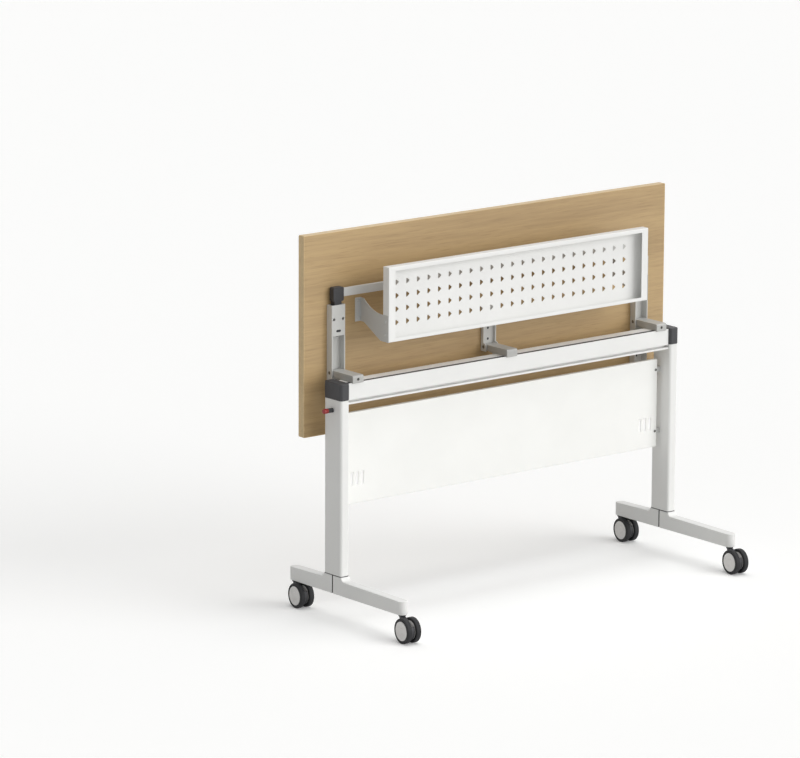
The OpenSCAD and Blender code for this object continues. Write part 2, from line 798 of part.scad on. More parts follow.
// A perforation: flat on its left, rounded to a point on its right
module perf_outline() {
    corner = perf_w / 5;
    left = -perf_w / 2 + corner;
    right = perf_w / 2 - corner;
    high = perf_h / 2 - corner;
    tilt = atan2(right - left, high);
    polygon(concat(
        arc([right, 0], corner, -tilt, tilt, 3),
        arc([left, high], corner, tilt, 180, 3),
        arc([left, -high], corner, 180, 360 - tilt, 3)));
}
module shelf_tray() {
    color("white") difference() {
        translate([-shelf_l / 2, shelf_front, shelf_z]) difference() {
            cube([shelf_l, shelf_edge, shelf_d]);
            translate([shelf_t, shelf_t, shelf_t])
                cube([shelf_l - 2 * shelf_t, shelf_edge - 2 * shelf_t, shelf_d - 2 * shelf_t]);
            translate([end_lip, -over, near_lip])
                cube([shelf_l - 2 * end_lip, shelf_t + 2 * over, shelf_d - near_lip - long_lip]);
        }
        for (i = [0:perf_cols - 1], j = [0:perf_rows - 1])
            translate([perf_shift + (i - (perf_cols - 1) / 2) * perf_pitch, shelf_back - shelf_t - over,
                shelf_z + shelf_d / 2 - perf_drop + (j - (perf_rows - 1) / 2) * perf_pitch])
                rotate([-90, 0, 0]) linear_extrude(shelf_t + 2 * over) perf_outline();
        for (s = [-1, 1], rise = shelf_screw_rises)
            translate([s * shelf_l / 2 - over - shelf_t, shelf_front + shelf_edge / 2, shelf_z + rise])
                bar_x(screw_r + seat_gap, 2 * shelf_t + 2 * over);
    }
}
module hanger(s) {
    end = shelf_l / 2;
    root = end - hanger_lean;
    fold = under_y - hanger_t;
    steps = 8;
    color("lightgray") mirror([s < 0 ? 1 : 0, 0, 0]) difference() {
        intersection() {
            translate([0, 0, shelf_z - over]) linear_extrude(hanger_high + 2 * over) polygon([
                [end, shelf_front], [end + hanger_t, shelf_front], [end + hanger_t, shelf_back],
                [root + hanger_t, fold], [root + flange_w, fold], [root + flange_w, under_y],
                [root, under_y], [end, shelf_back]]);
            translate([end, 0, 0]) along_x(4 * flange_w) translate([under_y, shelf_z]) polygon(concat(
                [[over, hanger_low], [-hanger_foot, hanger_low], [-hanger_run, 0],
                 [-shelf_clear - shelf_edge, 0], [-shelf_clear - shelf_edge, hanger_end]],
                [for (i = [0:steps]) [-hanger_run + (hanger_run - hanger_flat) * i / steps,
                    hanger_end + (hanger_high - hanger_end) * pow(i / steps, 2)]],
                [[over, hanger_high]]));
        }
        for (rise = flange_screw_rises) translate([hanger_screw_x(1), fold - over, shelf_z + rise])
            bar_y(screw_r + seat_gap, hanger_t + 2 * over);
        for (rise = shelf_screw_rises)
            translate([end - over, shelf_front + shelf_edge / 2, shelf_z + rise])
                bar_x(screw_r + seat_gap, hanger_t + 2 * over);
    }
}
module left_hanger() {
    hanger(-1);
}
module right_hanger() {
    hanger(1);
}
module shelf_screws() {
    color("darkgray") for (s = [-1, 1]) {
        for (rise = flange_screw_rises) translate([hanger_screw_x(s), under_y - hanger_t, shelf_z + rise])
            screw_y(hanger_t + wood_bite);
        for (rise = shelf_screw_rises)
            translate([s * (shelf_l / 2 + hanger_t), shelf_front + shelf_edge / 2, shelf_z + rise])
                rotate([0, 0, s * 90]) screw_y(hanger_t + shelf_t + 2 * screw_r);
    }
}

// Latch: a bar between two grips, each with a pin that slides in its block

module release_bar() {
    l = 2 * hinge_x - grip_w;
    color("silver") translate([0, bar_y, bar_z]) difference() {
        cube([l, bar_t, bar_h], center = true);
        cube([l + 2 * over, bar_t - 2 * bar_wall, bar_h - 2 * bar_wall], center = true);
    }
}
module grip(x) {
    s = -sign(x);
    round = grip_w / 7;
    translate([x, under_y, 0]) difference() {
        union() {
            translate([0, -grip_back, grip_z + grip_h / 2]) rotate([90, 0, 0])
                linear_extrude(grip_deep) round_rect(grip_w, grip_h, round);
            translate([-neck_w / 2, -bracket_deep + pocket_wall + face_gap,
                block_top - pocket_deep + latch_stroke + face_gap])
                cube([neck_w, bracket_deep - pocket_wall - bracket_web - 2 * face_gap,
                    grip_z + round - block_top + pocket_deep - latch_stroke - face_gap]);
            translate([s * (grip_w / 2 + spigot_l / 2 - over), bar_y - under_y, bar_z])
                cube([spigot_l + 2 * over, bar_t - 2 * bar_wall - 2 * seat_gap,
                    bar_h - 2 * bar_wall - 2 * seat_gap], center = true);
        }
        translate([0, -latch_drop, block_z]) cylinder(h = grip_z + pin_grip - block_z, r = latch_r + seat_gap);
    }
}
module release_grips() {
    color([0.2, 0.2, 0.21]) for (x = [-hinge_x, hinge_x]) grip(x);
}
module latch_pins() {
    color("silver") for (x = [-hinge_x, hinge_x]) translate([x, latch_y, block_z - latch_out])
        cylinder(h = grip_z + pin_grip - block_z + latch_out, r = latch_r - run_gap);
}

// Casters: each is turned a little about its stem, the wheels trailing to -Y

module place_caster(sx, sy) {
    translate([sx * post_x, post_y + (sy < 0 ? -foot_front : foot_rear), 0])
        rotate([0, 0, -turn]) children();
}
module caster_housing(sx, sy) {
    color([0.22, 0.22, 0.23]) place_caster(sx, sy) difference() {
        union() {
            translate([0, 0, neck_z]) cylinder(h = neck_top - neck_z, r = neck_r);
            along_x(web_t) polygon([
                [web_reach, web_z], [-trail, wheel_r], [-web_reach, web_z]]);
            translate([-web_t / 2, -trail, wheel_r]) bar_x(body_r, web_t);
        }
        translate([-web_t, -trail, wheel_r]) bar_x(axle_r + seat_gap, 2 * web_t);
        translate([0, 0, neck_z + 2 * over]) cylinder(h = neck_rise * 2 + over, r = stem_r + seat_gap);
        along_x(web_t + 2 * over) polygon([
            [-trail - notch_in, wheel_r + notch_in], [-trail - body_r - over, wheel_r + notch_in / 2],
            [-trail - body_r - over, wheel_r + body_r + over], [-trail + notch_in / 2, wheel_r + body_r + over]]);
    }
}
module caster_stem(sx, sy) {
    reach = wheel_gap / 2 + hub_bore_deep - face_gap;
    color("silver") place_caster(sx, sy) {
        translate([0, 0, neck_z + 2 * over])
            cylinder(h = tip_under_z + socket_deep - face_gap - neck_z - 2 * over, r = stem_r);
        translate([-reach, -trail, wheel_r]) bar_x(axle_r, 2 * reach);
    }
}
// side is +1 for the wheel toward +X
module place_wheel(sx, sy, side) {
    place_caster(sx, sy) translate([0, -trail, wheel_r]) mirror([side < 0 ? 1 : 0, 0, 0])
        rotate([0, 90, 0]) translate([0, 0, wheel_gap / 2]) children();
}
module caster_hub(sx, sy, side) {
    color([0.74, 0.73, 0.72]) place_wheel(sx, sy, side) rotate_extrude()
        polygon([
            [0, hub_bore_deep], [axle_r + run_gap, hub_bore_deep], [axle_r + run_gap, 0],
            [hub_r, 0], [hub_r, wheel_w - hub_dish / 2], [hub_r - hub_dish / 2, wheel_w],
            [hub_r - hub_rim, wheel_w], [hub_r - hub_rim - hub_dish, wheel_w - hub_dish],
            [0, wheel_w - hub_dish]]);
}
module caster_tyre(sx, sy, side) {
    inner = hub_r + seat_gap;
    low = tyre_inset;
    high = wheel_w - tyre_inset;
    round = tread_edge - tyre_inset;
    color([0.25, 0.25, 0.26]) place_wheel(sx, sy, side) rotate_extrude() {
        translate([inner, low]) square([wheel_r - inner - round, high - low]);
        translate([inner, low + round]) square([wheel_r - inner, high - low - 2 * round]);
        for (z = [low + round, high - round]) translate([wheel_r - round, z]) circle(round);
    }
}

left_post();
right_post();
left_post_cap();
right_post_cap();
post_gaskets();
crossbeam();
slot_strip();
modesty_panel();
panel_brackets();
panel_screws();
left_front_foot();
left_rear_foot();
right_front_foot();
right_rear_foot();
foot_bolts();
left_hinge_arm();
middle_hinge_arm();
right_hinge_arm();
arm_screws();
pivot_pins();
plunger_sleeve();
plunger_knob();
plunger_pin();
tabletop();
edge_band();
left_bracket();
middle_bracket();
right_bracket();
bracket_screws();
shelf_tray();
left_hanger();
right_hanger();
shelf_screws();
release_bar();
release_grips();
latch_pins();
caster_housing(-1, -1);  // left_front_housing
caster_stem(-1, -1);  // left_front_stem
caster_hub(-1, -1, -1);  // left_front_outer_hub
caster_tyre(-1, -1, -1);  // left_front_outer_tyre
caster_hub(-1, -1, 1);  // left_front_inner_hub
caster_tyre(-1, -1, 1);  // left_front_inner_tyre
caster_housing(-1, 1);  // left_rear_housing
caster_stem(-1, 1);  // left_rear_stem
caster_hub(-1, 1, -1);  // left_rear_outer_hub
caster_tyre(-1, 1, -1);  // left_rear_outer_tyre
caster_hub(-1, 1, 1);  // left_rear_inner_hub
caster_tyre(-1, 1, 1);  // left_rear_inner_tyre
caster_housing(1, -1);  // right_front_housing
caster_stem(1, -1);  // right_front_stem
caster_hub(1, -1, 1);  // right_front_outer_hub
caster_tyre(1, -1, 1);  // right_front_outer_tyre
caster_hub(1, -1, -1);  // right_front_inner_hub
caster_tyre(1, -1, -1);  // right_front_inner_tyre
caster_housing(1, 1);  // right_rear_housing
caster_stem(1, 1);  // right_rear_stem
caster_hub(1, 1, 1);  // right_rear_outer_hub
caster_tyre(1, 1, 1);  // right_rear_outer_tyre
caster_hub(1, 1, -1);  // right_rear_inner_hub
caster_tyre(1, 1, -1);  // right_rear_inner_tyre
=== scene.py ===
import json
import math

import bmesh
import bpy
from bpy.props import (
    FloatProperty,
    FloatVectorProperty,
    IntProperty,
    PointerProperty,
)
from mathutils import Matrix, Vector

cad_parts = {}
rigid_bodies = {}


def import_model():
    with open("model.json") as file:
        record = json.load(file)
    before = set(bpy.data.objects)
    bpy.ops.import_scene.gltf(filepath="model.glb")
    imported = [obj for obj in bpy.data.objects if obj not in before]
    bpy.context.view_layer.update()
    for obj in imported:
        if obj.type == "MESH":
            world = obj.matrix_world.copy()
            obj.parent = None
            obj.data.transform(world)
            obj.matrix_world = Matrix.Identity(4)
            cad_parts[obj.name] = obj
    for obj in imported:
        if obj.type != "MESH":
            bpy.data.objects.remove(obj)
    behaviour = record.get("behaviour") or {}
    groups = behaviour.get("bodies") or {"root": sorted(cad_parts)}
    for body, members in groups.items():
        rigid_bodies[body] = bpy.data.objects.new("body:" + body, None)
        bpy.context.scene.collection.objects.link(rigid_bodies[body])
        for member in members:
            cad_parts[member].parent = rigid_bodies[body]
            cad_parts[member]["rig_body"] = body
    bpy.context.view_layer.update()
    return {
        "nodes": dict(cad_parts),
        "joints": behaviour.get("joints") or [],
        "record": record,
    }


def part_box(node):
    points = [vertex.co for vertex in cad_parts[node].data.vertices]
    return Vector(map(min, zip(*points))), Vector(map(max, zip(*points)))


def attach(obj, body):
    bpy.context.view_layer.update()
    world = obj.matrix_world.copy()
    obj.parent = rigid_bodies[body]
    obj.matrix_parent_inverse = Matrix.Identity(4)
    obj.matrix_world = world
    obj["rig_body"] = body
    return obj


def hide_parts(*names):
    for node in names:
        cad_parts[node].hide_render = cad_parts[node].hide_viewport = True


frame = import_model()
NODES = frame["nodes"]
JOINTS = {joint["name"]: joint for joint in frame["joints"]}
SLOTS = {part["node"]: part["material_slot"] for part in frame["record"]["subparts"]}

bl_info = {
    "name": "Folding Training Table",
    "version": (1, 0, 0),
    "blender": (4, 5, 0),
    "location": "3D View > Sidebar > Training Table",
    "description": "Dresses the packed folding table with finishes, eased edges, "
                   "perforated sheet, screws and casters",
    "category": "Object",
}


def shade(red, green, blue):
    """A display colour of 0 to 255, as Blender's linear colour."""
    return tuple(
        c / 12.92 if c <= 0.04045 else ((c + 0.055) / 1.055) ** 2.4
        for c in (red / 255, green / 255, blue / 255)
    )


def colour_setting(name, description, *display):
    return FloatVectorProperty(
        name=name, description=description, subtype="COLOR", size=3,
        min=0.0, max=1.0, default=shade(*display))


def length_setting(name, description, default):
    return FloatProperty(
        name=name, description=description, default=default, min=0.0,
        unit="LENGTH", precision=5)


def count_setting(name, description, default, least=1):
    return IntProperty(name=name, description=description, default=default, min=least)


def strength_setting(name, description, default):
    return FloatProperty(name=name, description=description, default=default, min=0.0)


class TableFinishes(bpy.types.PropertyGroup):
    oak_light: colour_setting("Oak, light", "Light fibres of the laminate", 191, 162, 117)
    oak_dark: colour_setting("Oak, dark", "Dark fibres of the laminate", 174, 146, 105)
    oak_edge: colour_setting("Oak edge", "Edge band round the top", 222, 194, 146)
    white_paint: colour_setting("White paint", "Posts, beam, feet and shelf", 236, 236, 234)
    panel_paint: colour_setting("Panel paint", "Modesty panel", 246, 246, 243)
    grey_paint: colour_setting("Grey paint", "Painted release bar and hangers", 196, 196, 194)
    cast_alloy: colour_setting("Cast alloy", "Hinge brackets", 202, 202, 199)
    # Darker than the brackets' cast alloy: painted shade for the arms' shaded sides
    arm_alloy_painted_shade: colour_setting("Arm alloy", "Cast hinge arms", 180, 180, 177)
    dark_plastic: colour_setting(
        "Dark plastic", "Caps, gaskets, grips and caster housings", 54, 54, 57)
    red_plastic: colour_setting("Red plastic", "Knob of the plunger", 150, 30, 30)
    hub_plastic: colour_setting("Hub plastic", "Hubs of the caster wheels", 238, 236, 234)
    tyre_rubber: colour_setting("Tyre rubber", "Tyres of the caster wheels", 50, 50, 52)
    steel: colour_setting("Steel", "Screws, pins, stems and bolts", 128, 128, 126)
    grain_length: FloatProperty(
        name="Grain stretch", description="How much longer than wide the grain is",
        default=26.0, min=1.0)


class TableShapes(bpy.types.PropertyGroup):
    board_arris: length_setting("Board arris", "Rounding of the top's edges", 0.0006)
    tube_ease: length_setting("Tube edges", "Rounding of cut tube and beam edges", 0.0007)
    beam_rib: length_setting("Beam rib", "Thickness of the rib before the top slot", 0.0015)
    beam_slot: length_setting("Beam slot", "Width of the slot in the beam's top", 0.0155)
    beam_slot_depth: length_setting("Slot depth", "Depth of the slot in the beam's top", 0.008)
    strip_sink: length_setting("Strip sink", "From the beam's top down to the strip", 0.0004)
    beam_lip: length_setting("Beam lip", "Height of the lip below the groove", 0.0055)
    beam_groove: length_setting("Beam groove", "Height of the groove in the front", 0.0075)
    beam_groove_depth: length_setting("Groove depth", "Depth of the groove in the front", 0.016)
    foot_seam: length_setting("Foot seam", "Width of the seam between a foot's arms", 0.0040)
    cast_ease: length_setting("Cast edges", "Rounding of the feet and hinge arms", 0.0018)
    bracket_ease: length_setting("Bracket edges", "Rounding of the hinge brackets", 0.0008)
    cap_ease: length_setting("Cap edges", "Rounding of the caps' edges", 0.0010)
    grip_ease: length_setting("Grip edges", "Rounding of the release grips", 0.0020)
    bar_ease: length_setting("Bar edges", "Rounding of the release bar", 0.0006)
    sheet_bend: length_setting("Sheet bend", "Outer radius of bends in sheet metal", 0.002)
    shelf_sheet: length_setting("Shelf sheet", "Thickness of the shelf", 0.001)
    shelf_far_lip: length_setting("Far return", "Return along the shelf's far edge", 0.012)
    shelf_near_lip: length_setting("Near return", "Return along the edge by the pivots", 0.0108)
    shelf_end_lip: length_setting("End return", "Return across the ends of the shelf", 0.0245)
    perforation_columns: count_setting("Perforation columns", "Columns in the shelf", 23)
    perforation_rows: count_setting("Perforation rows", "Rows in the shelf", 4)
    perforation_pitch: length_setting("Perforation pitch", "Pitch of the perforations", 0.040)
    perforation_width: length_setting("Perforation width", "Width of a perforation", 0.012)
    perforation_height: length_setting("Perforation height", "Height of a perforation", 0.016)
    perforation_shift: FloatVectorProperty(
        name="Perforation shift", size=2, default=(-0.010, -0.0015), unit="LENGTH", precision=5,
        description="From the middle of the shelf to the middle of its perforations")
    panel_sheet: length_setting("Panel sheet", "Thickness of the modesty panel", 0.0018)
    panel_slots: count_setting("Panel slots", "Slots at each end of the modesty panel", 3)
    panel_slot_pitch: length_setting("Slot pitch", "Pitch of the panel's slots", 0.020)
    panel_slot_width: length_setting("Slot width", "Width of a slot", 0.008)
    panel_slot_height: length_setting("Slot height", "Height of a slot", 0.040)
    panel_slot_end: length_setting("Slot end", "From the panel's end to its first slot", 0.027)
    panel_slot_rise: length_setting("Slot rise", "From the lower edge to the slots", 0.055)
    neck_radius: length_setting("Neck radius", "Radius of a caster's neck", 0.011)
    caster_trail: length_setting("Caster trail", "From a caster's stem to its axle", 0.030)
    housing_width: length_setting("Housing width", "Housing between the wheels", 0.011)
    wheel_width: length_setting("Wheel width", "Width of one caster wheel", 0.0175)
    hub_radius: length_setting("Hub radius", "Radius of a caster hub", 0.0285)
    knob_flutes: count_setting("Knob flutes", "Flutes round the plunger's knob", 12, 3)


class TableStage(bpy.types.PropertyGroup):
    floor_white: colour_setting("Floor", "Floor as the camera sees it", 252, 252, 251)
    floor_bounce: colour_setting("Floor bounce", "Floor as it lights the object", 222, 222, 220)
    floor_glow: strength_setting("Floor glow", "Light on the floor that is only seen", 0.14)
    ambient: strength_setting("Ambient", "Plain light from all round", 0.31)
    front_fill: strength_setting("Front fill", "Added light from the user's side", 0.40)
    key: strength_setting("Key light", "Soft key light", 1.64)
    top_light: strength_setting("Top light", "Soft light from above", 1.15)
    lamp_width: FloatProperty(
        name="Lamp width", description="How wide the soft lights are",
        default=math.radians(50), subtype="ANGLE")


# Node trees

WHITE = (1, 1, 1, 1)


def feed(tree, node, inputs):
    """Links each input that is given a socket, and sets each other one to its value."""
    for key, value in inputs.items():
        if isinstance(value, bpy.types.NodeSocket):
            tree.links.new(value, node.inputs[key])
        else:
            node.inputs[key].default_value = value


def new_node(tree, kind, inputs=None, **settings):
    node = tree.nodes.new(kind)
    for name, value in settings.items():
        setattr(node, name, value)
    feed(tree, node, inputs or {})
    return node


def maths(tree, operation, *values):
    return new_node(
        tree, "ShaderNodeMath", dict(enumerate(values)), operation=operation).outputs[0]


def noise(tree, vector, scale, detail=2.0, roughness=0.5):
    return new_node(tree, "ShaderNodeTexNoise", {
        "Vector": vector, "Scale": scale, "Detail": detail, "Roughness": roughness,
    }).outputs["Fac"]


def between(tree, fac, low, high):
    """A number from low to high as fac goes over its middle range."""
    return new_node(tree, "ShaderNodeMapRange", {
        "Value": fac, "From Min": 0.3, "From Max": 0.7, "To Min": low, "To Max": high,
    }).outputs["Result"]


def two_tone(tree, fac, first, second, start=0.35, end=0.65):
    """A colour from first to second as fac goes from start to end."""
    ramp = new_node(tree, "ShaderNodeValToRGB", {"Fac": fac})
    stops = ramp.color_ramp.elements
    for stop, place, colour in ((stops[0], start, first), (stops[1], end, second)):
        stop.position = place
        stop.color = (*colour, 1)
    return ramp.outputs["Color"]


def cleared_tree(owner):
    """The empty node tree of a material or a world."""
    owner.use_nodes = True
    owner.node_tree.nodes.clear()
    return owner.node_tree


# Materials

# Patches per metre in which a coat's tone and sheen drift, and how far its roughness does
TONE_DRIFT = 7.0
SHEEN_DRIFT = 63.0
SHEEN_SPREAD = 0.05

# Each coat's roughness, scale and depth of skin, spread of tone, and gloss
COATS = {
    "white_paint": (0.40, 1500.0, 0.00003, 0.012, 0.5),
    "panel_paint": (0.42, 1500.0, 0.00003, 0.012, 0.5),
    "grey_paint": (0.40, 1500.0, 0.00003, 0.02, 0.5),
    "cast_alloy": (0.44, 900.0, 0.00006, 0.03, 0.5),
    "arm_alloy_painted_shade": (0.40, 900.0, 0.00006, 0.04, 0.5),
    "dark_plastic": (0.50, 1900.0, 0.00005, 0.06, 0.5),
    "red_plastic": (0.36, 1900.0, 0.00003, 0.05, 0.5),
    "hub_plastic": (0.42, 1600.0, 0.00003, 0.02, 0.5),
    "tyre_rubber": (0.62, 1100.0, 0.00008, 0.10, 0.2),
    "black_steel_and_painted_shade": (0.40, 1900.0, 0.00002, 0.04, 0.5),
}
FINISHES = {}


def start_material(name):
    material = bpy.data.materials.new(name)
    tree = cleared_tree(material)
    surface = new_node(tree, "ShaderNodeBsdfPrincipled", location=(300, 0))
    new_node(tree, "ShaderNodeOutputMaterial", {"Surface": surface.outputs["BSDF"]},
             location=(600, 0))
    where = new_node(tree, "ShaderNodeTexCoord", location=(-900, 0)).outputs["Object"]
    return material, tree, surface, where


def bumped(tree, height, distance):
    return new_node(tree, "ShaderNodeBump", {
        "Strength": 1.0, "Distance": distance, "Height": height}).outputs["Normal"]


def tinted(colour, factor):
    return tuple(min(1.0, c * factor) for c in colour)


def coated(name, colour, rough, peel, depth, spread, gloss):
    """A finish with a faint drift of tone, an uneven sheen and a fine skin."""
    material, tree, surface, where = start_material(name)
    drift = noise(tree, where, TONE_DRIFT, 3.0)
    sheen = noise(tree, where, SHEEN_DRIFT, 4.0)
    feed(tree, surface, {
        "Base Color": two_tone(tree, drift, tinted(colour, 1 - spread), tinted(colour, 1 + spread)),
        "Roughness": between(tree, sheen, rough - SHEEN_SPREAD, rough + SHEEN_SPREAD),
        "Specular IOR Level": gloss,
        "Normal": bumped(tree, noise(tree, where, peel), depth)})
    return material


def oak(name, light, dark, stretch, rough):
    """Wood-grain laminate: broad figure, fibres and short pores, drawn out along X."""
    material, tree, surface, where = start_material(name)

    def grain(scale, pull, detail, roughness=0.5):
        mapped = new_node(tree, "ShaderNodeMapping", {
            "Vector": where, "Scale": (scale / pull, scale, scale)})
        return noise(tree, mapped.outputs["Vector"], 1.0, detail, roughness)

    def multiplied(first, second):
        return new_node(tree, "ShaderNodeMix", {"Factor": 1.0, "A": first, "B": second},
                        data_type="RGBA", blend_type="MULTIPLY").outputs["Result"]

    bend = grain(2.2, 4.0, 2.0)
    figure = grain(11.0, stretch / 2, 3.0, 0.55)
    fibre = grain(120.0, stretch, 3.0, 0.6)
    pores = grain(640.0, stretch * 1.6, 1.0)
    plain, shadow, pore = (1, 1, 1), (0.93, 0.93, 0.93), (0.86, 0.84, 0.80)
    mixed = maths(tree, "MULTIPLY_ADD", figure, 0.5, maths(tree, "MULTIPLY", fibre, 0.5))
    tone = two_tone(tree, mixed, dark, light, 0.36, 0.60)
    tone = multiplied(tone, two_tone(tree, bend, shadow, plain))
    tone = multiplied(tone, two_tone(tree, pores, pore, plain, 0.30, 0.40))
    feed(tree, surface, {
        "Base Color": tone,
        "Roughness": between(tree, fibre, rough + 0.06, rough - 0.04),
        "Normal": bumped(tree, fibre, 0.00004)})
    return material


def brushed(name, colour, rough=0.32):
    """Bare metal with fine scratches and an uneven sheen."""
    material, tree, surface, where = start_material(name)
    lines = noise(tree, where, 2400.0)
    sheen = noise(tree, where, 160.0)
    feed(tree, surface, {
        "Base Color": two_tone(tree, lines, tinted(colour, 0.92), tinted(colour, 1.06)),
        "Roughness": between(tree, sheen, rough - 0.06, rough + 0.08),
        "Metallic": 1.0,
        "Normal": bumped(tree, lines, 0.00001)})
    return material


def make_finishes(settings):
    """A procedural material for each of the record's slots, and for two more: a darker arm alloy as
    painted shade, and a dark finish for screws and painted shade.
    """
    def colour(name):
        return tuple(getattr(settings, name))

    for name, coat in COATS.items():
        # The black steel finish takes the dark plastic's colour; on seams and guide slots it is
        # painted shade
        own = "dark_plastic" if name == "black_steel_and_painted_shade" else name
        FINISHES[name] = coated(name, colour(own), *coat)
    stretch, edge = settings.grain_length, colour("oak_edge")
    FINISHES["oak_laminate"] = oak(
        "oak_laminate", colour("oak_light"), colour("oak_dark"), stretch, 0.42)
    FINISHES["oak_edge"] = oak("oak_edge", edge, tinted(edge, 0.86), stretch, 0.4)
    FINISHES["steel"] = brushed("steel", colour("steel"))


# Mesh helpers

# Distances within which two corners are one
CAD_WELD, FINE_WELD, CELL_WELD, SHEET_WELD = 2e-6, 1e-6, 1e-5, 2e-5
# How far a corner may lie from the plane that it is on
ON_PLANE = 1e-5
# Degrees past which an edge is rounded over, and past which an edge is shaded sharp
ROUNDED_FROM = 28.0
EASED_SHARP, SHEET_SHARP, TURNED_SHARP = 50.0, 32.0, 40.0
# Runs of edge up to this size belong to the holes of small screws
SMALL_HOLE = 0.013


def body_of(node):
    return NODES[node]["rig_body"]


def placed(name, data):
    thing = bpy.data.objects.new(name, data)
    bpy.context.scene.collection.objects.link(thing)
    return thing


def show(name, mesh, node, *more):
    """Makes the mesh a piece that stands for one or more CAD nodes and moves with their body."""
    piece = placed(name, mesh)
    mesh.materials.clear()
    mesh.materials.append(FINISHES[SLOTS[node]])
    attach(piece, body_of(node))
    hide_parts(node, *more)
    return piece


def smoothed(mesh, sharp):
    for face in mesh.polygons:
        face.use_smooth = True
    mesh.set_sharp_from_angle(angle=math.radians(sharp))


def even_normals(piece):
    """Keeps flat faces flat beside rounded edges."""
    modifier = piece.modifiers.new("Even normals", "WEIGHTED_NORMAL")
    modifier.mode = "FACE_AREA"
    modifier.keep_sharp = True
    modifier.weight = 50


def to_mesh(name, bm):
    mesh = bpy.data.meshes.new(name)
    bm.to_mesh(mesh)
    bm.free()
    return mesh


def add_mesh(bm, mesh):
    bm.from_mesh(mesh)
    bpy.data.meshes.remove(mesh)


def spare_object(name, bm):
    """A shape for a tree to repeat, taken away once the tree has run."""
    return placed(name, to_mesh(name, bm))


def remove(*things):
    for thing in things:
        bpy.data.objects.remove(thing)


def faced_outwards(bm):
    bmesh.ops.recalc_face_normals(bm, faces=bm.faces)
    return bm


def merged_copy(node):
    """A CAD node's triangles, merged, with its flat faces whole."""
    data = NODES[node].data
    bm = bmesh.new()
    corners = [bm.verts.new(v.co) for v in data.vertices]
    for face in data.polygons:
        try:
            bm.faces.new([corners[i] for i in face.vertices])
        except ValueError:
            continue
    bmesh.ops.remove_doubles(bm, verts=bm.verts, dist=CAD_WELD)
    bmesh.ops.dissolve_limit(
        bm, angle_limit=math.radians(0.5), verts=bm.verts, edges=bm.edges)
    return bm


def runs(things, neighbours):
    """The groups of things that hang together through their neighbours."""
    left, groups = set(things), []
    for first in things:
        if first in left:
            left.remove(first)
            group = [first]
            for thing in group:
                for near in neighbours(thing):
                    if near in left:
                        left.remove(near)
                        group.append(near)
            groups.append(group)
    return groups


def long_edges(bm, least):
    """Sharp edges whose connected run is longer than the holes of small screws."""
    limit = math.radians(ROUNDED_FROM)
    sharp = [e for e in bm.edges if len(e.link_faces) == 2 and e.calc_face_angle(0.0) > limit]
    chosen = []
    for run in runs(sharp, lambda edge: [e for v in edge.verts for e in v.link_edges]):
        points = [v.co for e in run for v in e.verts]
        if max(max(p[i] for p in points) - min(p[i] for p in points) for i in range(3)) > least:
            chosen += run
    bm.edges.index_update()
    return sorted(chosen, key=lambda e: e.index)


def eased(node, width, segments=2, least=SMALL_HOLE, name=None, start=None):
    """A copy of a CAD node, or of the shape that start holds, with its long edges rounded over."""
    bm = start or merged_copy(node)
    edges = long_edges(bm, least)
    if edges:
        bmesh.ops.bevel(bm, geom=edges, offset=width, offset_type="OFFSET", segments=segments,
                        profile=0.5, affect="EDGES", clamp_overlap=True)
    bmesh.ops.remove_doubles(bm, verts=bm.verts, dist=FINE_WELD)
    mesh = to_mesh(name or node, bm)
    smoothed(mesh, EASED_SHARP)
    piece = show(name or "eased_" + node, mesh, node)
    even_normals(piece)
    return piece


def darkened(piece, chosen):
    """Gives the chosen faces of a piece the dark finish, as painted shade."""
    piece.data.materials.append(FINISHES["black_steel_and_painted_shade"])
    for face in piece.data.polygons:
        if chosen(face):
            face.material_index = 1


def on_circle(radius, angle):
    return radius * math.cos(angle), radius * math.sin(angle)


def bridged(bm, rings):
    """Closes each ring of corners to the next with a band of faces."""
    for a, b in zip(rings, rings[1:]):
        for i in range(len(a)):
            j = (i + 1) % len(a)
            bm.faces.new((a[i], a[j], b[j], b[i]))


def lathe(bm, profile, place, steps, flute=None):
    """A turned shape of (radius, height) pairs; flute cuts into the pairs that end in True."""
    rings = []
    for radius, height, *fluted in profile:
        if not radius:
            rings.append([bm.verts.new(place @ Vector((0, 0, height)))])
            continue
        ring = []
        for i in range(steps):
            x, y = on_circle(radius - flute(i) if fluted else radius, 2 * math.pi * i / steps)
            ring.append(bm.verts.new(place @ Vector((x, y, height))))
        rings.append(ring)
    for low, high in zip(rings, rings[1:]):
        count = max(len(low), len(high))
        for i in range(count):
            j = (i + 1) % count
            corners = [low[i % len(low)], low[j % len(low)],
                       high[j % len(high)], high[i % len(high)]]
            corners = list(dict.fromkeys(corners))
            if len(corners) > 2:
                bm.faces.new(corners)


def turned(name, node, profile, place, steps, flute=None):
    """A piece turned from (radius, height) pairs."""
    bm = bmesh.new()
    lathe(bm, profile, place, steps, flute)
    bmesh.ops.remove_doubles(bm, verts=bm.verts, dist=FINE_WELD)
    mesh = to_mesh(name, faced_outwards(bm))
    smoothed(mesh, TURNED_SHARP)
    show(name, mesh, node)


def drawn(outline, low, high):
    """A bar along X with one outline of (y, z) points."""
    bm = bmesh.new()
    ends = [[bm.verts.new((x, y, z)) for y, z in outline] for x in (low, high)]
    for ring in ends:
        bm.faces.new(ring)
    for i, (first, second) in enumerate(zip(*ends)):
        j = (i + 1) % len(outline)
        bm.faces.new((first, second, ends[1][j], ends[0][j]))
    return faced_outwards(bm)


def facing(direction, origin):
    """A place whose Z runs along a direction."""
    turn = Vector(direction).to_track_quat("Z", "Y").to_matrix().to_4x4()
    return Matrix.Translation(origin) @ turn


# Geometry Nodes


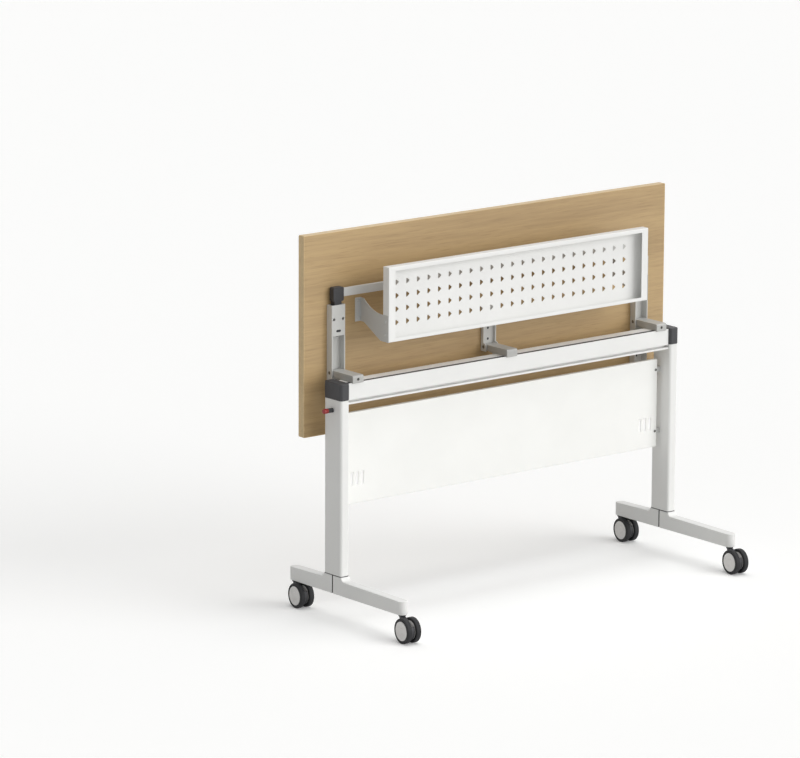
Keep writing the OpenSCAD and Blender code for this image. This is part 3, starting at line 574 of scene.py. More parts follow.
def new_tree(name, inputs):
    tree = bpy.data.node_groups.new(name, "GeometryNodeTree")
    shape = "NodeSocketGeometry"
    tree.interface.new_socket("Geometry", in_out="INPUT", socket_type=shape)
    for label, kind, default in inputs:
        socket = tree.interface.new_socket(label, in_out="INPUT", socket_type=kind)
        if default is not None:
            socket.default_value = default
    tree.interface.new_socket("Geometry", in_out="OUTPUT", socket_type=shape)
    return tree, new_node(tree, "NodeGroupInput").outputs, new_node(tree, "NodeGroupOutput")


def run_tree(piece, tree, values):
    """Runs a tree on an object and keeps the result as its plain mesh."""
    modifier = piece.modifiers.new(tree.name, "NODES")
    modifier.node_group = tree
    for item in tree.interface.items_tree:
        if item.item_type == "SOCKET" and item.in_out == "INPUT" and item.name in values:
            modifier[item.identifier] = values[item.name]
    piece.update_tag()
    made = piece.evaluated_get(bpy.context.evaluated_depsgraph_get())
    mesh = bpy.data.meshes.new_from_object(made)
    piece.modifiers.remove(modifier)
    return mesh


def end_tree(tree, geometry, material, out, merge=0.0):
    """Realize Instances, a merge where cells meet, and Set Material."""
    real = new_node(tree, "GeometryNodeRealizeInstances", {"Geometry": geometry})
    last = real.outputs["Geometry"]
    if merge:
        weld = new_node(tree, "GeometryNodeMergeByDistance", {"Geometry": last, "Distance": merge})
        last = weld.outputs["Geometry"]
    paint = new_node(tree, "GeometryNodeSetMaterial", {"Geometry": last, "Material": material})
    feed(tree, out, {"Geometry": paint.outputs["Geometry"]})


def cell_field_tree():
    """Repeats one cell of sheet, with its hole, in columns along X and rows along Z."""
    tree, given, out = new_tree("Cell field", [
        ("Cell", "NodeSocketObject", None),
        ("Start", "NodeSocketVector", (0, 0, 0)),
        ("Columns", "NodeSocketInt", 1),
        ("Rows", "NodeSocketInt", 1),
        ("Column Pitch", "NodeSocketFloat", 0.04),
        ("Row Pitch", "NodeSocketFloat", 0.04),
        ("Finish", "NodeSocketMaterial", None),
    ])
    lines = []
    for count, pitch, axis in (("Columns", "Column Pitch", "X"), ("Rows", "Row Pitch", "Z")):
        step = new_node(tree, "ShaderNodeCombineXYZ", {axis: given[pitch]})
        lines.append(new_node(tree, "GeometryNodeMeshLine", {
            "Count": given[count], "Offset": step.outputs["Vector"]}, mode="OFFSET"))
    feed(tree, lines[0], {"Start Location": given["Start"]})
    grid = new_node(tree, "GeometryNodeInstanceOnPoints", {
        "Points": lines[0].outputs["Mesh"], "Instance": lines[1].outputs["Mesh"]})
    places = new_node(tree, "GeometryNodeRealizeInstances", {
        "Geometry": grid.outputs["Instances"]})
    cell = new_node(tree, "GeometryNodeObjectInfo", {"Object": given["Cell"]})
    field = new_node(tree, "GeometryNodeInstanceOnPoints", {
        "Points": places.outputs["Geometry"], "Instance": cell.outputs["Geometry"]})
    end_tree(tree, field.outputs["Instances"], given["Finish"], out, CELL_WELD)
    return tree


def cell_field(tree, cell, start, counts, pitches, finish):
    """The plain mesh of one field of cells."""
    host = spare_object("host", bmesh.new())
    mesh = run_tree(host, tree, {
        "Cell": cell, "Start": start, "Columns": counts[0], "Rows": counts[1],
        "Column Pitch": pitches[0], "Row Pitch": pitches[1], "Finish": FINISHES[finish]})
    remove(host)
    return mesh


def fastener_tree():
    """Puts a head and a shank at each point, turned and scaled by the point's own attributes."""
    tree, given, out = new_tree("Fasteners", [
        ("Head", "NodeSocketObject", None),
        ("Shank", "NodeSocketObject", None),
        ("Finish", "NodeSocketMaterial", None),
    ])

    def attribute(name):
        return new_node(tree, "GeometryNodeInputNamedAttribute", {"Name": name},
                        data_type="FLOAT_VECTOR").outputs["Attribute"]

    join = new_node(tree, "GeometryNodeJoinGeometry")
    turn = attribute("turn")
    for label, scale in (("Head", "head_scale"), ("Shank", "shank_scale")):
        shape = new_node(tree, "GeometryNodeObjectInfo", {"Object": given[label]})
        put = new_node(tree, "GeometryNodeInstanceOnPoints", {
            "Points": given["Geometry"], "Instance": shape.outputs["Geometry"],
            "Rotation": turn, "Scale": attribute(scale)})
        feed(tree, join, {"Geometry": put.outputs["Instances"]})
    end_tree(tree, join.outputs["Geometry"], given["Finish"], out)
    return tree


# Sheet metal

SHELF_BEND_STEPS, PANEL_BEND_STEPS = 5, 4
CORNER_STEPS, SLOT_STEPS = 5, 12


def quarter_turn(steps):
    return [math.radians(90 * i / steps) for i in range(steps + 1)]


def holed_cell(width, height, outline):
    """A rectangle of sheet in the XZ plane with one hole."""
    bm = bmesh.new()
    edges = []
    right, top = width / 2, height / 2
    for points in ([(-right, -top), (right, -top), (right, top), (-right, top)], outline):
        corners = [bm.verts.new((x, 0, z)) for x, z in points]
        edges += [bm.edges.new((a, b)) for a, b in zip(corners, corners[1:] + corners[:1])]
    bmesh.ops.triangle_fill(bm, use_beauty=True, use_dissolve=False, edges=edges)
    return bm


def perforation_outline(width, height):
    """Flat on its left and rounded to a point on its right."""
    corner = width / 5
    left, right, high = corner - width / 2, width / 2 - corner, height / 2 - corner
    tilt = math.atan2(right - left, high)
    points = []
    for centre, first, last in (((right, 0), -tilt, tilt), ((left, high), tilt, math.pi),
                                ((left, -high), math.pi, 2 * math.pi - tilt)):
        for i in range(CORNER_STEPS + 1):
            x, z = on_circle(corner, first + (last - first) * i / CORNER_STEPS)
            points.append((centre[0] + x, centre[1] + z))
    return points


def slot_outline(width, height):
    """Straight sides and round ends."""
    points = []
    for side, first in ((1, 0), (-1, math.pi)):
        for i in range(SLOT_STEPS + 1):
            x, z = on_circle(width / 2, math.pi * i / SLOT_STEPS + first)
            points.append((x, side * (height - width) / 2 + z))
    return points


def solid_sheet(bm, name, node, thickness, outward):
    """Closes a skin into a sheet; outward is the direction that its widest face looks."""
    bmesh.ops.remove_doubles(bm, verts=bm.verts, dist=SHEET_WELD)
    faced_outwards(bm)
    flat = [f.normal * f.calc_area() for f in bm.faces if abs(f.normal.dot(outward)) > 0.99]
    if sum(flat, Vector()).dot(outward) < 0:
        bmesh.ops.reverse_faces(bm, faces=bm.faces)
    mesh = to_mesh(name, bm)
    smoothed(mesh, SHEET_SHARP)
    piece = show(name, mesh, node)
    wall = piece.modifiers.new("Sheet", "SOLIDIFY")
    wall.thickness = thickness
    wall.offset = -1.0
    wall.use_even_offset = True
    even_normals(piece)


# Operators

# The camera's place, its axes, and its lens and sensor in millimetres
CAMERA_PLACE = (-9.6634, -11.3599, 3.9809)
CAMERA_RIGHT = (0.77803, -0.62821, 0.00477)
CAMERA_UP = (0.13353, 0.17278, 0.97587)
CAMERA_BACK = (-0.61388, -0.75861, 0.21831)
CAMERA_LENS, CAMERA_SENSOR = 231.30, 36.0
# The directions that the key light and the top light come from
KEY_FROM, TOP_LIGHT_FROM = (0.50, -0.83, 0.25), (0.15, -0.15, 1)
FLOOR_RADIUS, FLOOR_STEPS = 80.0, 64


class TABLE_OT_finishes(bpy.types.Operator):
    """Makes the procedural materials and puts them on every CAD node"""

    bl_idname = "training_table.finishes"
    bl_label = "Finishes"

    def execute(self, context):
        make_finishes(context.scene.table_finishes)
        for node, thing in NODES.items():
            thing.data.materials.clear()
            thing.data.materials.append(FINISHES[SLOTS[node]])
        return {"FINISHED"}


class TABLE_OT_stage(bpy.types.Operator):
    """Adds the floor, the soft light and the camera"""

    bl_idname = "training_table.stage"
    bl_label = "Stage"

    def execute(self, context):
        scene, stage = context.scene, context.scene.table_stage
        scene.view_settings.view_transform = "Standard"
        scene.camera = self.camera()
        self.lamp("key", stage.key, stage.lamp_width, KEY_FROM)
        self.lamp("top light", stage.top_light, stage.lamp_width, TOP_LIGHT_FROM)
        self.light_world(scene, stage)
        self.lay_floor(stage)
        return {"FINISHED"}

    def camera(self):
        sight = bpy.data.cameras.new("camera")
        sight.sensor_width, sight.lens = CAMERA_SENSOR, CAMERA_LENS
        sight.clip_start, sight.clip_end = 0.1, 200.0
        camera = placed("camera", sight)
        turn = Matrix((CAMERA_RIGHT, CAMERA_UP, CAMERA_BACK)).transposed().to_4x4()
        camera.matrix_world = Matrix.Translation(CAMERA_PLACE) @ turn
        return camera

    def lamp(self, name, strength, width, source):
        lamp = bpy.data.lights.new(name, "SUN")
        lamp.energy, lamp.angle = strength, width
        light = placed(name, lamp)
        light.rotation_mode = "QUATERNION"
        light.rotation_quaternion = Vector(source).to_track_quat("Z", "Y")

    def split(self, tree, output, lit, seen):
        """One shader lights the object, and camera, glossy and transmission rays see the other."""
        path = new_node(tree, "ShaderNodeLightPath").outputs
        rays = path["Is Camera Ray"]
        for ray in ("Is Glossy Ray", "Is Transmission Ray"):
            rays = maths(tree, "MAXIMUM", rays, path[ray])
        mix = new_node(tree, "ShaderNodeMixShader", {"Fac": rays, 1: lit, 2: seen},
                       location=(400, 0))
        new_node(tree, output, {"Surface": mix.outputs["Shader"]}, location=(600, 0))

    def light_world(self, scene, stage):
        """Plain light from all round, stronger from the front, before a white background."""
        scene.world = bpy.data.worlds.new("studio")
        tree = cleared_tree(scene.world)
        where = new_node(tree, "ShaderNodeTexCoord").outputs["Generated"]
        look = new_node(tree, "ShaderNodeSeparateXYZ", {"Vector": where}).outputs["Y"]
        front = maths(tree, "MULTIPLY", look, -math.sqrt(stage.front_fill))
        front = maths(tree, "MAXIMUM", front, 0.0)
        whole = maths(tree, "MULTIPLY_ADD", front, front, stage.ambient)
        soft, white = (
            new_node(tree, "ShaderNodeBackground", {"Color": WHITE, "Strength": strength})
            for strength in (whole, 1.0))
        self.split(tree, "ShaderNodeOutputWorld",
                   soft.outputs["Background"], white.outputs["Background"])

    def lay_floor(self, stage):
        bm = bmesh.new()
        bmesh.ops.create_circle(bm, cap_ends=True, radius=FLOOR_RADIUS, segments=FLOOR_STEPS)
        floor = spare_object("floor", bm)
        material = bpy.data.materials.new("floor")
        tree = cleared_tree(material)
        bounce, plain = (
            new_node(tree, "ShaderNodeBsdfDiffuse", {"Color": (*colour, 1)}).outputs["BSDF"]
            for colour in (stage.floor_bounce, stage.floor_white))
        glow = new_node(tree, "ShaderNodeEmission", {"Strength": stage.floor_glow})
        both = new_node(tree, "ShaderNodeAddShader", {0: plain, 1: glow.outputs["Emission"]})
        self.split(tree, "ShaderNodeOutputMaterial", bounce, both.outputs["Shader"])
        floor.data.materials.append(material)


class TABLE_OT_top(bpy.types.Operator):
    """Eases the board and its edge band, with a fine seam between them"""

    bl_idname = "training_table.top"
    bl_label = "Top"

    def execute(self, context):
        shapes = context.scene.table_shapes
        eased("tabletop", shapes.board_arris / 2, least=0.2)
        eased("edge_band", shapes.board_arris, least=0.2)
        return {"FINISHED"}


class TABLE_OT_posts_and_beam(bpy.types.Operator):
    """Eases the posts, their caps and gaskets, and the beam"""

    bl_idname = "training_table.posts_and_beam"
    bl_label = "Posts and Beam"

    # Between the slot's walls and the strip in it
    strip_play = 0.0001

    def execute(self, context):
        shapes = context.scene.table_shapes
        low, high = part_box("crossbeam")
        rib = low.y + shapes.beam_rib
        slot_end, slot_floor = rib + shapes.beam_slot, high.z - shapes.beam_slot_depth
        lip, groove_back = low.z + shapes.beam_lip, low.y + shapes.beam_groove_depth
        groove_top = lip + shapes.beam_groove
        for node in ("left_post", "right_post"):
            eased(node, shapes.tube_ease)
        eased("crossbeam", shapes.tube_ease, name="drawn_crossbeam", start=drawn([
            (low.y, low.z), (high.y, low.z), (high.y, high.z), (slot_end, high.z),
            (slot_end, slot_floor), (rib, slot_floor), (rib, high.z), (low.y, high.z),
            (low.y, groove_top), (groove_back, groove_top), (groove_back, lip), (low.y, lip),
        ], low.x, high.x))
        near, far = rib + self.strip_play, slot_end - self.strip_play
        top = high.z - shapes.strip_sink
        eased("slot_strip", shapes.tube_ease / 2, name="soft_slot_strip", start=drawn([
            (near, slot_floor), (far, slot_floor), (far, top), (near, top),
        ], low.x, high.x))
        for node in ("left_post_cap", "right_post_cap"):
            eased(node, shapes.cap_ease)
        eased("post_gaskets", shapes.tube_ease / 2)
        return {"FINISHED"}


class TABLE_OT_feet(bpy.types.Operator):
    """Rounds the edges of the cast feet and opens the seam between their arms, with painted shade
    on its faces
    """

    bl_idname = "training_table.feet"
    bl_label = "Feet"

    # How far from the seam's plane its faces with painted shade may be, and how squarely they face
    # it
    seam_reach, seam_square = 0.0003, 0.9

    def execute(self, context):
        shapes = context.scene.table_shapes
        for side in ("left", "right"):
            for end in ("front", "rear"):
                node = f"{side}_{end}_foot"
                low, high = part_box(node)
                seam, step = high.y, -shapes.foot_seam / 2
                if end == "rear":
                    seam, step = low.y, -step
                bm = merged_copy(node)
                for vert in bm.verts:
                    if abs(vert.co.y - seam) < ON_PLANE:
                        vert.co.y += step
                foot = eased(node, shapes.cast_ease, segments=3, least=0.03, start=bm)
                # The seam's end faces take the dark finish: painted shade in the gap between the
                # arms
                darkened(foot, lambda face: abs(face.normal.y) > self.seam_square
                         and abs(face.center.y - seam - step) < self.seam_reach)
        return {"FINISHED"}


class TABLE_OT_hinges(bpy.types.Operator):
    """Rounds the hinge arms, darker for painted shade, and eases the brackets, with painted shade
    in their guide slots, and the pins
    """

    bl_idname = "training_table.hinges"
    bl_label = "Hinges"

    # Half the guide slot's length, and the depths between which its floor lies, which gets painted
    # shade
    slot_half, slot_near, slot_far = 0.0086, 0.0009, 0.0026

    def execute(self, context):
        shapes = context.scene.table_shapes
        for place in ("left", "middle", "right"):
            arm = eased(f"{place}_hinge_arm", shapes.cast_ease, segments=3)
            # A darker alloy than the brackets' own: painted shade on the arms
            arm.data.materials[0] = FINISHES["arm_alloy_painted_shade"]
            bracket = eased(f"{place}_bracket", shapes.bracket_ease)
            low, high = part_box(f"{place}_bracket")
            middle = (low.x + high.x) / 2
            # The floor of each side bracket's guide slot takes the dark finish: painted shade in
            # the recess
            darkened(bracket, lambda face: place != "middle"
                     and abs(face.center.x - middle) < self.slot_half
                     and self.slot_near < face.center.y - low.y < self.slot_far)
        eased("pivot_pins", shapes.bracket_ease, least=0.008)
        return {"FINISHED"}


class TABLE_OT_latch(bpy.types.Operator):
    """Rounds the release bar, its grips and the latch pins"""

    bl_idname = "training_table.latch"
    bl_label = "Latch"

    def execute(self, context):
        shapes = context.scene.table_shapes
        eased("release_bar", shapes.bar_ease)
        eased("release_grips", shapes.grip_ease, segments=3)
        eased("latch_pins", shapes.bar_ease, least=0.006)
        return {"FINISHED"}


class TABLE_OT_shelf(bpy.types.Operator):
    """Folds the perforated shelf and eases its hangers"""

    bl_idname = "training_table.shelf"
    bl_label = "Shelf"

    def execute(self, context):
        shapes = context.scene.table_shapes
        low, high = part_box("shelf_tray")
        centre, half = (low + high) / 2, (high - low) / 2
        shift, pitch = shapes.perforation_shift, shapes.perforation_pitch
        columns, rows = shapes.perforation_columns, shapes.perforation_rows

        cell = spare_object("cell", holed_cell(pitch, pitch, perforation_outline(
            shapes.perforation_width, shapes.perforation_height)))
        middle = Vector((centre.x + shift[0], high.y, centre.z + shift[1]))
        start = middle - Vector((columns - 1, 0, rows - 1)) * pitch / 2
        bm = bmesh.new()
        add_mesh(bm, cell_field(
            cell_field_tree(), cell, start, (columns, rows), (pitch, pitch), "white_paint"))
        remove(cell)

        loops = self.folded(bm, shapes, low, high, centre, half)
        x0, x1 = middle.x - columns * pitch / 2, middle.x + columns * pitch / 2
        z0, z1 = middle.z - rows * pitch / 2, middle.z + rows * pitch / 2
        along = [(x0 + i * pitch, z0) for i in range(columns)]
        along += [(x1, z0 + i * pitch) for i in range(rows)]
        along += [(x1 - i * pitch, z1) for i in range(columns)]
        along += [(x0, z1 - i * pitch) for i in range(rows)]
        inner = [bm.verts.new((x, high.y, z)) for x, z in along]
        turns_at = [0, columns, columns + rows, 2 * columns + rows, len(inner)]
        for i in range(4):
            edge = [inner[k % len(inner)] for k in range(turns_at[i], turns_at[i + 1] + 1)]
            bm.faces.new([loops[0][(i + 1) % 4], loops[0][i], *edge])
        solid_sheet(bm, "folded_shelf_tray", "shelf_tray", shapes.shelf_sheet, Vector((0, 1, 0)))

        for side in ("left", "right"):
            eased(f"{side}_hanger", shapes.bar_ease, least=0.02)
        return {"FINISHED"}

    def folded(self, bm, shapes, low, high, centre, half):
        """The walls and returns, from the bend at the shelf's floor to the edge of its lips."""
        bend, turns = shapes.sheet_bend, quarter_turn(SHELF_BEND_STEPS)
        path = [(bend - bend * math.sin(t), high.y - bend + bend * math.cos(t)) for t in turns]
        path += [(bend - bend * math.cos(t), low.y + bend - bend * math.sin(t)) for t in turns]
        rings = [(half.x - d, y, half.z - d, half.z - d) for d, y in path]
        rings.append((half.x - shapes.shelf_end_lip, low.y,
                      half.z - shapes.shelf_near_lip, half.z - shapes.shelf_far_lip))
        loops = [[bm.verts.new((centre.x + x, y, centre.z + z))
                  for x, z in ((-w, -near), (w, -near), (w, far), (-w, far))]
                 for w, y, near, far in rings]
        bridged(bm, loops)
        return loops


class TABLE_OT_modesty_panel(bpy.types.Operator):
    """Folds the slotted modesty panel and eases its bent tabs"""

    bl_idname = "training_table.modesty_panel"
    bl_label = "Modesty Panel"

    def execute(self, context):
        shapes = context.scene.table_shapes
        low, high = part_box("modesty_panel")
        bend, pitch, count = shapes.sheet_bend, shapes.panel_slot_pitch, shapes.panel_slots
        height = shapes.panel_slot_height + pitch
        slot_z = low.z + shapes.panel_slot_rise + shapes.panel_slot_height / 2
        z0, z1 = slot_z - height / 2, slot_z + height / 2
        outer = high.x - shapes.panel_slot_end

        tree, bm = cell_field_tree(), bmesh.new()
        cell = spare_object("cell", holed_cell(
            pitch, height, slot_outline(shapes.panel_slot_width, shapes.panel_slot_height)))
        for first in (-outer, outer - (count - 1) * pitch):
            add_mesh(bm, cell_field(
                tree, cell, (first, low.y, slot_z), (count, 1), (pitch, height), "panel_paint"))
        remove(cell)

        inner = [outer + pitch / 2 - i * pitch for i in range(count + 1)]
        columns = [low.x] + [-x for x in inner] + inner[::-1] + [high.x]
        last = len(columns) - 2
        slotted = {*range(1, count + 1), *range(last - count, last)}
        turns = quarter_turn(PANEL_BEND_STEPS)
        path = [(high.y, low.z)]
        path += [(low.y + bend - bend * math.sin(t), low.z + bend - bend * math.cos(t))
                 for t in turns]
        slot_row = len(path)
        path += [(low.y, z0), (low.y, z1)]
        path += [(low.y + bend - bend * math.cos(t), high.z - bend + bend * math.sin(t))
                 for t in turns]
        path += [(high.y, high.z)]
        grid = [[bm.verts.new((x, y, z)) for y, z in path] for x in columns]
        for i, (a, b) in enumerate(zip(grid, grid[1:])):
            for k in range(len(path) - 1):
                if k != slot_row or i not in slotted:
                    bm.faces.new((a[k], b[k], b[k + 1], a[k + 1]))
        solid_sheet(bm, "folded_modesty_panel", "modesty_panel", shapes.panel_sheet,
                    Vector((0, -1, 0)))
        eased("panel_brackets", shapes.tube_ease / 2)
        return {"FINISHED"}


class TABLE_OT_fasteners(bpy.types.Operator):
    """Puts a socket-head screw or bolt wherever the frame holds one"""

    bl_idname = "training_table.fasteners"
    bl_label = "Fasteners"

    # The bracket screws take the dark finish: dark screws that also paint the shade in their holes
    finishes = {
        "bracket_screws": "black_steel_and_painted_shade", "shelf_screws": "grey_paint", "panel_screws": "steel",
        "arm_screws": "steel", "foot_bolts": "steel"}
    # The least height of a head and of a shank, and how near an end a corner counts as on it
    least_head, least_shank, near_end = 0.0009, 0.0004, 2e-5
    # A fastener lies along its least size when that is more than the first share of the
    # largest size, or less than the second share of the middle one
    stubby, flat = 0.6, 0.3
    # The share of the head's radius that its rim and its shank are known by
    rim_share, shank_share = 0.93, 0.9
    # The unit head's (radius, height) pairs, its socket, the steps round it, and the unit shank
    dome = ((0.96, 0.0), (1.0, 0.10), (1.0, 0.52), (0.95, 0.78), (0.82, 0.95), (0.66, 1.0))
    socket_radius, socket_levels, head_steps, shank_steps = 0.5, (1.0, 0.45), 24, 20
    shank = ((0, -1.0), (0.6, -1.0), (1.0, -0.92), (1.0, 0.02), (0, 0.02))

    def execute(self, context):
        head = spare_object("head", self.head_shape())
        shank = spare_object("shank", self.shank_shape())
        tree = fastener_tree()
        for node, finish in self.finishes.items():
            places = self.places(node)
            mesh = bpy.data.meshes.new("places")
            mesh.from_pydata([place[0] for place in places], [], [])
            for index, name in enumerate(("turn", "head_scale", "shank_scale"), 1):
                layer = mesh.attributes.new(name, "FLOAT_VECTOR", "POINT")
                for i, place in enumerate(places):
                    layer.data[i].vector = place[index]
            host = placed("places", mesh)
            made = run_tree(host, tree, {
                "Head": head, "Shank": shank, "Finish": FINISHES[finish]})
            remove(host)
            smoothed(made, TURNED_SHARP)
            screws = show("socket_" + node, made, node)
            screws.data.materials[0] = FINISHES[finish]
        remove(head, shank)
        return {"FINISHED"}

    def places(self, node):
        """Each fastener's origin under its head, its turn, and the sizes of head and shank."""
        bm = merged_copy(node)
        parts = runs(list(bm.verts), lambda vert: [e.other_vert(vert) for e in vert.link_edges])
        found = [self.measure([vert.co.copy() for vert in part]) for part in parts]
        bm.free()
        return found

    def measure(self, part):
        """One fastener's place and sizes, from the corners of its solid."""
        low = Vector(min(p[i] for p in part) for i in range(3))
        high = Vector(max(p[i] for p in part) for i in range(3))
        size, centre = high - low, (low + high) / 2
        small, middling, large = sorted(size)
        short = small > self.stubby * large or small < self.flat * middling
        axis = (min if short else max)(range(3), key=lambda i: size[i])
        across = [i for i in range(3) if i != axis]

        def radius(points):
            return max((math.hypot(*(p[i] - centre[i] for i in across)) for p in points), default=0)

        ends = [radius([p for p in part if abs(p[axis] - end) < self.near_end])
                for end in (low[axis], high[axis])]
        top, out = (low[axis], -1) if ends[0] >= ends[1] else (high[axis], 1)
        wide = max(ends)
        slim = min(ends) if min(ends) < self.shank_share * wide else wide / 2
        rim = [abs(p[axis] - top) for p in part if radius([p]) > self.rim_share * wide]
        thick = max(max(rim), self.least_head)
        length = max(size[axis] - thick, self.least_shank)
        origin = centre.copy()
        origin[axis] = top - out * thick
        direction = Vector([out if i == axis else 0 for i in range(3)])
        turn = direction.to_track_quat("Z", "Y").to_euler()
        return origin, tuple(turn), (wide, wide, thick), (slim, slim, length)

    def head_shape(self):
        """Unit head: radius 1, height 1, domed, with a hexagon socket."""
        bm, steps = bmesh.new(), self.head_steps
        rings = [[(*on_circle(r, 2 * math.pi * i / steps), z) for i in range(steps)]
                 for r, z in self.dome]
        side = steps // 6
        for z in self.socket_levels:
            ring = []
            for i in range(steps):
                corner, along = divmod(i, side)
                a, b = (on_circle(1, math.radians(60 * (corner + k))) for k in (0, 1))
                t = along / side
                ring.append((*(self.socket_radius * (a[k] * (1 - t) + b[k] * t)
                               for k in (0, 1)), z))
            rings.append(ring)
        loops = [[bm.verts.new(p) for p in ring] for ring in rings]
        bridged(bm, loops)
        bm.faces.new(loops[-1])
        bm.faces.new(loops[0][::-1])
        return faced_outwards(bm)

    def shank_shape(self):
        """Unit shank: radius 1, from the origin down to -1, with a blunt point."""
        bm = bmesh.new()
        lathe(bm, self.shank, Matrix.Identity(4), self.shank_steps)
        return faced_outwards(bm)


class TABLE_OT_plunger(bpy.types.Operator):
    """Turns the plunger's fluted knob and its sleeve"""

    bl_idname = "training_table.plunger"
    bl_label = "Plunger"

    knob_steps, sleeve_steps = 96, 48
    # Depth of the knob's flutes, length of the sleeve's thick end, radius of its bore
    flute_depth, sleeve_head, bore = 0.0005, 0.018, 0.0031

    def execute(self, context):
        place, radius, length = self.measure("plunger_knob")
        per = self.knob_steps // context.scene.table_shapes.knob_flutes
        turned("fluted_plunger_knob", "plunger_knob", [
            (0, 0.0004), (0.8 * radius, 0.0), (0.94 * radius, 0.0005), (radius, 0.0012, True),
            (radius, 0.62 * length, True), (0.97 * radius, 0.70 * length),
            (0.97 * radius, length - 0.0016), (0.90 * radius, length - 0.0005),
            (0.78 * radius, length), (0, length - 0.0002),
        ], place, self.knob_steps, lambda i: self.flute_depth * (
            0.5 - 0.5 * math.cos(2 * math.pi * (i % per) / per)))

        place, radius, length = self.measure("plunger_sleeve")
        neck, bore = length - self.sleeve_head, self.bore
        turned("turned_plunger_sleeve", "plunger_sleeve", [
            (bore, 0), (0.78 * radius, 0), (0.85 * radius, 0.0006), (0.85 * radius, neck),
            (0.92 * radius, neck + 0.0002), (radius, neck + 0.0008), (radius, neck + 0.0052),
            (0.93 * radius, neck + 0.0060), (0.93 * radius, neck + 0.0072),
            (radius, neck + 0.0080), (radius, length - 0.0008), (0.9 * radius, length),
            (bore, length), (bore, 0),
        ], place, self.sleeve_steps)
        return {"FINISHED"}

    def measure(self, node):
        """A node's place, facing away from the post's middle, its radius and its length."""
        low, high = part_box(node)
        centre = (low.y + high.y) / 2, (low.z + high.z) / 2
        return facing((-1, 0, 0), (high.x, *centre)), (high.z - low.z) / 2, high.x - low.x


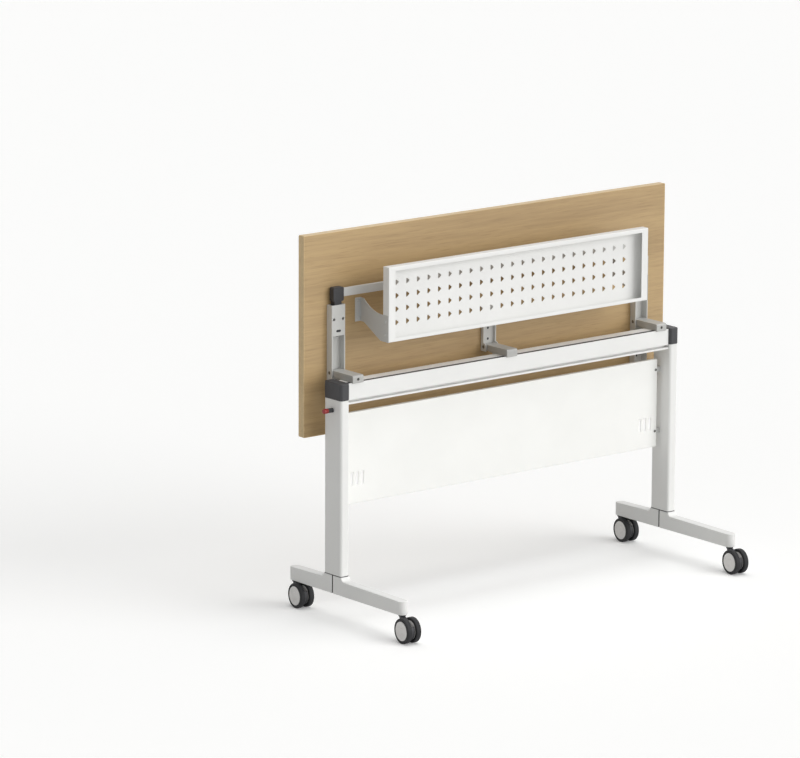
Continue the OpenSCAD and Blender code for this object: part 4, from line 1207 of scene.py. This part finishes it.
class TABLE_OT_casters(bpy.types.Operator):
    """Turns the caster wheels and rounds their housings"""

    bl_idname = "training_table.casters"
    bl_label = "Casters"

    hub_steps, tyre_steps, neck_steps = 64, 72, 36
    # The housing's disc: how far past the hub it reaches, its first angle and its sweep
    disc_past_hub, disc_from, disc_sweep, disc_steps = 0.0012, 34, 234, 24
    # From the neck's top down to the web that joins it to the disc
    web_drop = 0.004
    # How far the tyre's sides lie inside the hub's, its round shoulders, and its play on the hub
    tyre_inset, tyre_shoulder, shoulder_steps, tyre_play = 0.0006, 0.0030, 5, 0.00002
    # How far inside its rim the hub's outer face is dished
    hub_dish = 0.0015

    def execute(self, context):
        shapes = context.scene.table_shapes
        for corner in ("left_front", "left_rear", "right_front", "right_rear"):
            self.housing(shapes, corner)
            for side in ("outer", "inner"):
                self.wheel(shapes, f"{corner}_{side}")
        return {"FINISHED"}

    def housing(self, shapes, corner):
        """A neck, and a disc between the wheels that is open beside the neck."""
        outer, inner = (sum(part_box(f"{corner}_{side}_tyre"), Vector()) / 2
                        for side in ("outer", "inner"))
        axle, across = (outer + inner) / 2, (outer - inner).normalized()
        ahead = across.cross(Vector((0, 0, 1)))
        ahead *= -1 if ahead.y > 0 else 1
        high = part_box(corner + "_housing")[1].z
        neck, trail = shapes.neck_radius, shapes.caster_trail
        disc = shapes.hub_radius + self.disc_past_hub
        top = high - axle.z - self.web_drop
        outline = [(0.008, 0.008)]
        outline += [
            on_circle(disc, math.radians(self.disc_from - self.disc_sweep * i / self.disc_steps))
            for i in range(self.disc_steps + 1)]
        outline += [(-trail - neck * 0.8, top), (-trail + neck * 0.8, top), (-0.004, disc * 0.98)]
        bm = bmesh.new()
        ends = [[bm.verts.new(axle + across * half + ahead * t + Vector((0, 0, z)))
                 for t, z in outline]
                for half in (-shapes.housing_width / 2, shapes.housing_width / 2)]
        for ring in ends:
            bm.faces.new(ring)
        bridged(bm, ends)
        stem = axle - ahead * trail
        foot = high - 0.0052
        lathe(bm, [(0, foot), (neck - 0.002, foot), (neck, high - 0.0038), (neck, high), (0, high)],
              Matrix.Translation((stem.x, stem.y, 0)), self.neck_steps)
        eased(corner + "_housing", shapes.cap_ease / 2,
              name="moulded_" + corner + "_housing", start=faced_outwards(bm))

    def wheel(self, shapes, name):
        joint = JOINTS[name + "_roll"]
        axle, axis = Vector(joint["pos_m"]), Vector(joint["axis"]).normalized()
        low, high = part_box(name + "_tyre")
        reach = ((low + high) / 2 - axle).dot(axis)
        out = axis if reach > 0 else -axis
        wide, hub = shapes.wheel_width, shapes.hub_radius
        place = facing(out, axle + out * (abs(reach) - wide / 2))

        dish = wide - self.hub_dish
        turned("turned_" + name + "_hub", name + "_hub", [
            (0, 0.0131), (0.0041, 0.0131), (0.0041, 0.0004), (0.0045, 0.0), (0.010, 0.0),
            (0.0104, 0.0010), (0.0112, 0.0010), (0.0116, 0.0), (hub - 0.0008, 0.0), (hub, 0.0008),
            (hub, wide - 0.0008), (hub - 0.0004, wide - 0.0002), (hub - 0.0010, wide),
            (hub - 0.0046, wide), (hub - 0.0052, wide - 0.0002), (hub - 0.0064, dish),
            (0.0122, dish), (0.0118, dish - 0.0008), (0.0110, dish - 0.0008), (0.0106, dish),
            (0.0102, dish + 0.0006), (0.0090, dish + 0.0009), (0, dish + 0.0010),
        ], place, self.hub_steps)

        inset, shoulder, steps = self.tyre_inset, self.tyre_shoulder, self.shoulder_steps
        radius, bore = (high.z - low.z) / 2, hub + self.tyre_play
        profile = [(bore, inset + 0.0004), (hub + 0.0006, inset)]
        for start, z in ((-90, inset + shoulder), (0, wide - inset - shoulder)):
            for i in range(steps + 1):
                x, y = on_circle(shoulder, math.radians(start + 90 * i / steps))
                profile.append((radius - shoulder + x, z + y))
        profile += [(hub + 0.0006, wide - inset), (bore, wide - inset - 0.0004), profile[0]]
        turned("turned_" + name + "_tyre", name + "_tyre", profile, place, self.tyre_steps)


STEPS = (
    TABLE_OT_finishes, TABLE_OT_stage, TABLE_OT_top, TABLE_OT_posts_and_beam, TABLE_OT_feet,
    TABLE_OT_hinges, TABLE_OT_latch, TABLE_OT_shelf, TABLE_OT_modesty_panel, TABLE_OT_fasteners,
    TABLE_OT_plunger, TABLE_OT_casters,
)


class TABLE_PT_sidebar(bpy.types.Panel):
    bl_label = "Training Table"
    bl_idname = "TABLE_PT_sidebar"
    bl_space_type = "VIEW_3D"
    bl_region_type = "UI"
    bl_category = "Training Table"

    def draw(self, context):
        scene = context.scene
        for step in STEPS:
            self.layout.operator(step.bl_idname)
        for group in (scene.table_stage, scene.table_shapes, scene.table_finishes):
            box = self.layout.box()
            for name in group.__annotations__:
                box.prop(group, name)


SETTINGS = {
    "table_finishes": TableFinishes, "table_shapes": TableShapes, "table_stage": TableStage}


def register():
    for group in SETTINGS.values():
        bpy.utils.register_class(group)
    for name, group in SETTINGS.items():
        setattr(bpy.types.Scene, name, PointerProperty(type=group))
    for step in STEPS:
        bpy.utils.register_class(step)
    bpy.utils.register_class(TABLE_PT_sidebar)


def unregister():
    bpy.utils.unregister_class(TABLE_PT_sidebar)
    for step in reversed(STEPS):
        bpy.utils.unregister_class(step)
    for name, group in SETTINGS.items():
        delattr(bpy.types.Scene, name)
        bpy.utils.unregister_class(group)


def main():
    for thing in list(bpy.data.objects):
        if thing.name in ("Cube", "Light", "Camera"):
            bpy.data.objects.remove(thing)
    register()
    for step in STEPS:
        group, name = step.bl_idname.split(".")
        getattr(getattr(bpy.ops, group), name)()


if __name__ == "__main__":
    main()
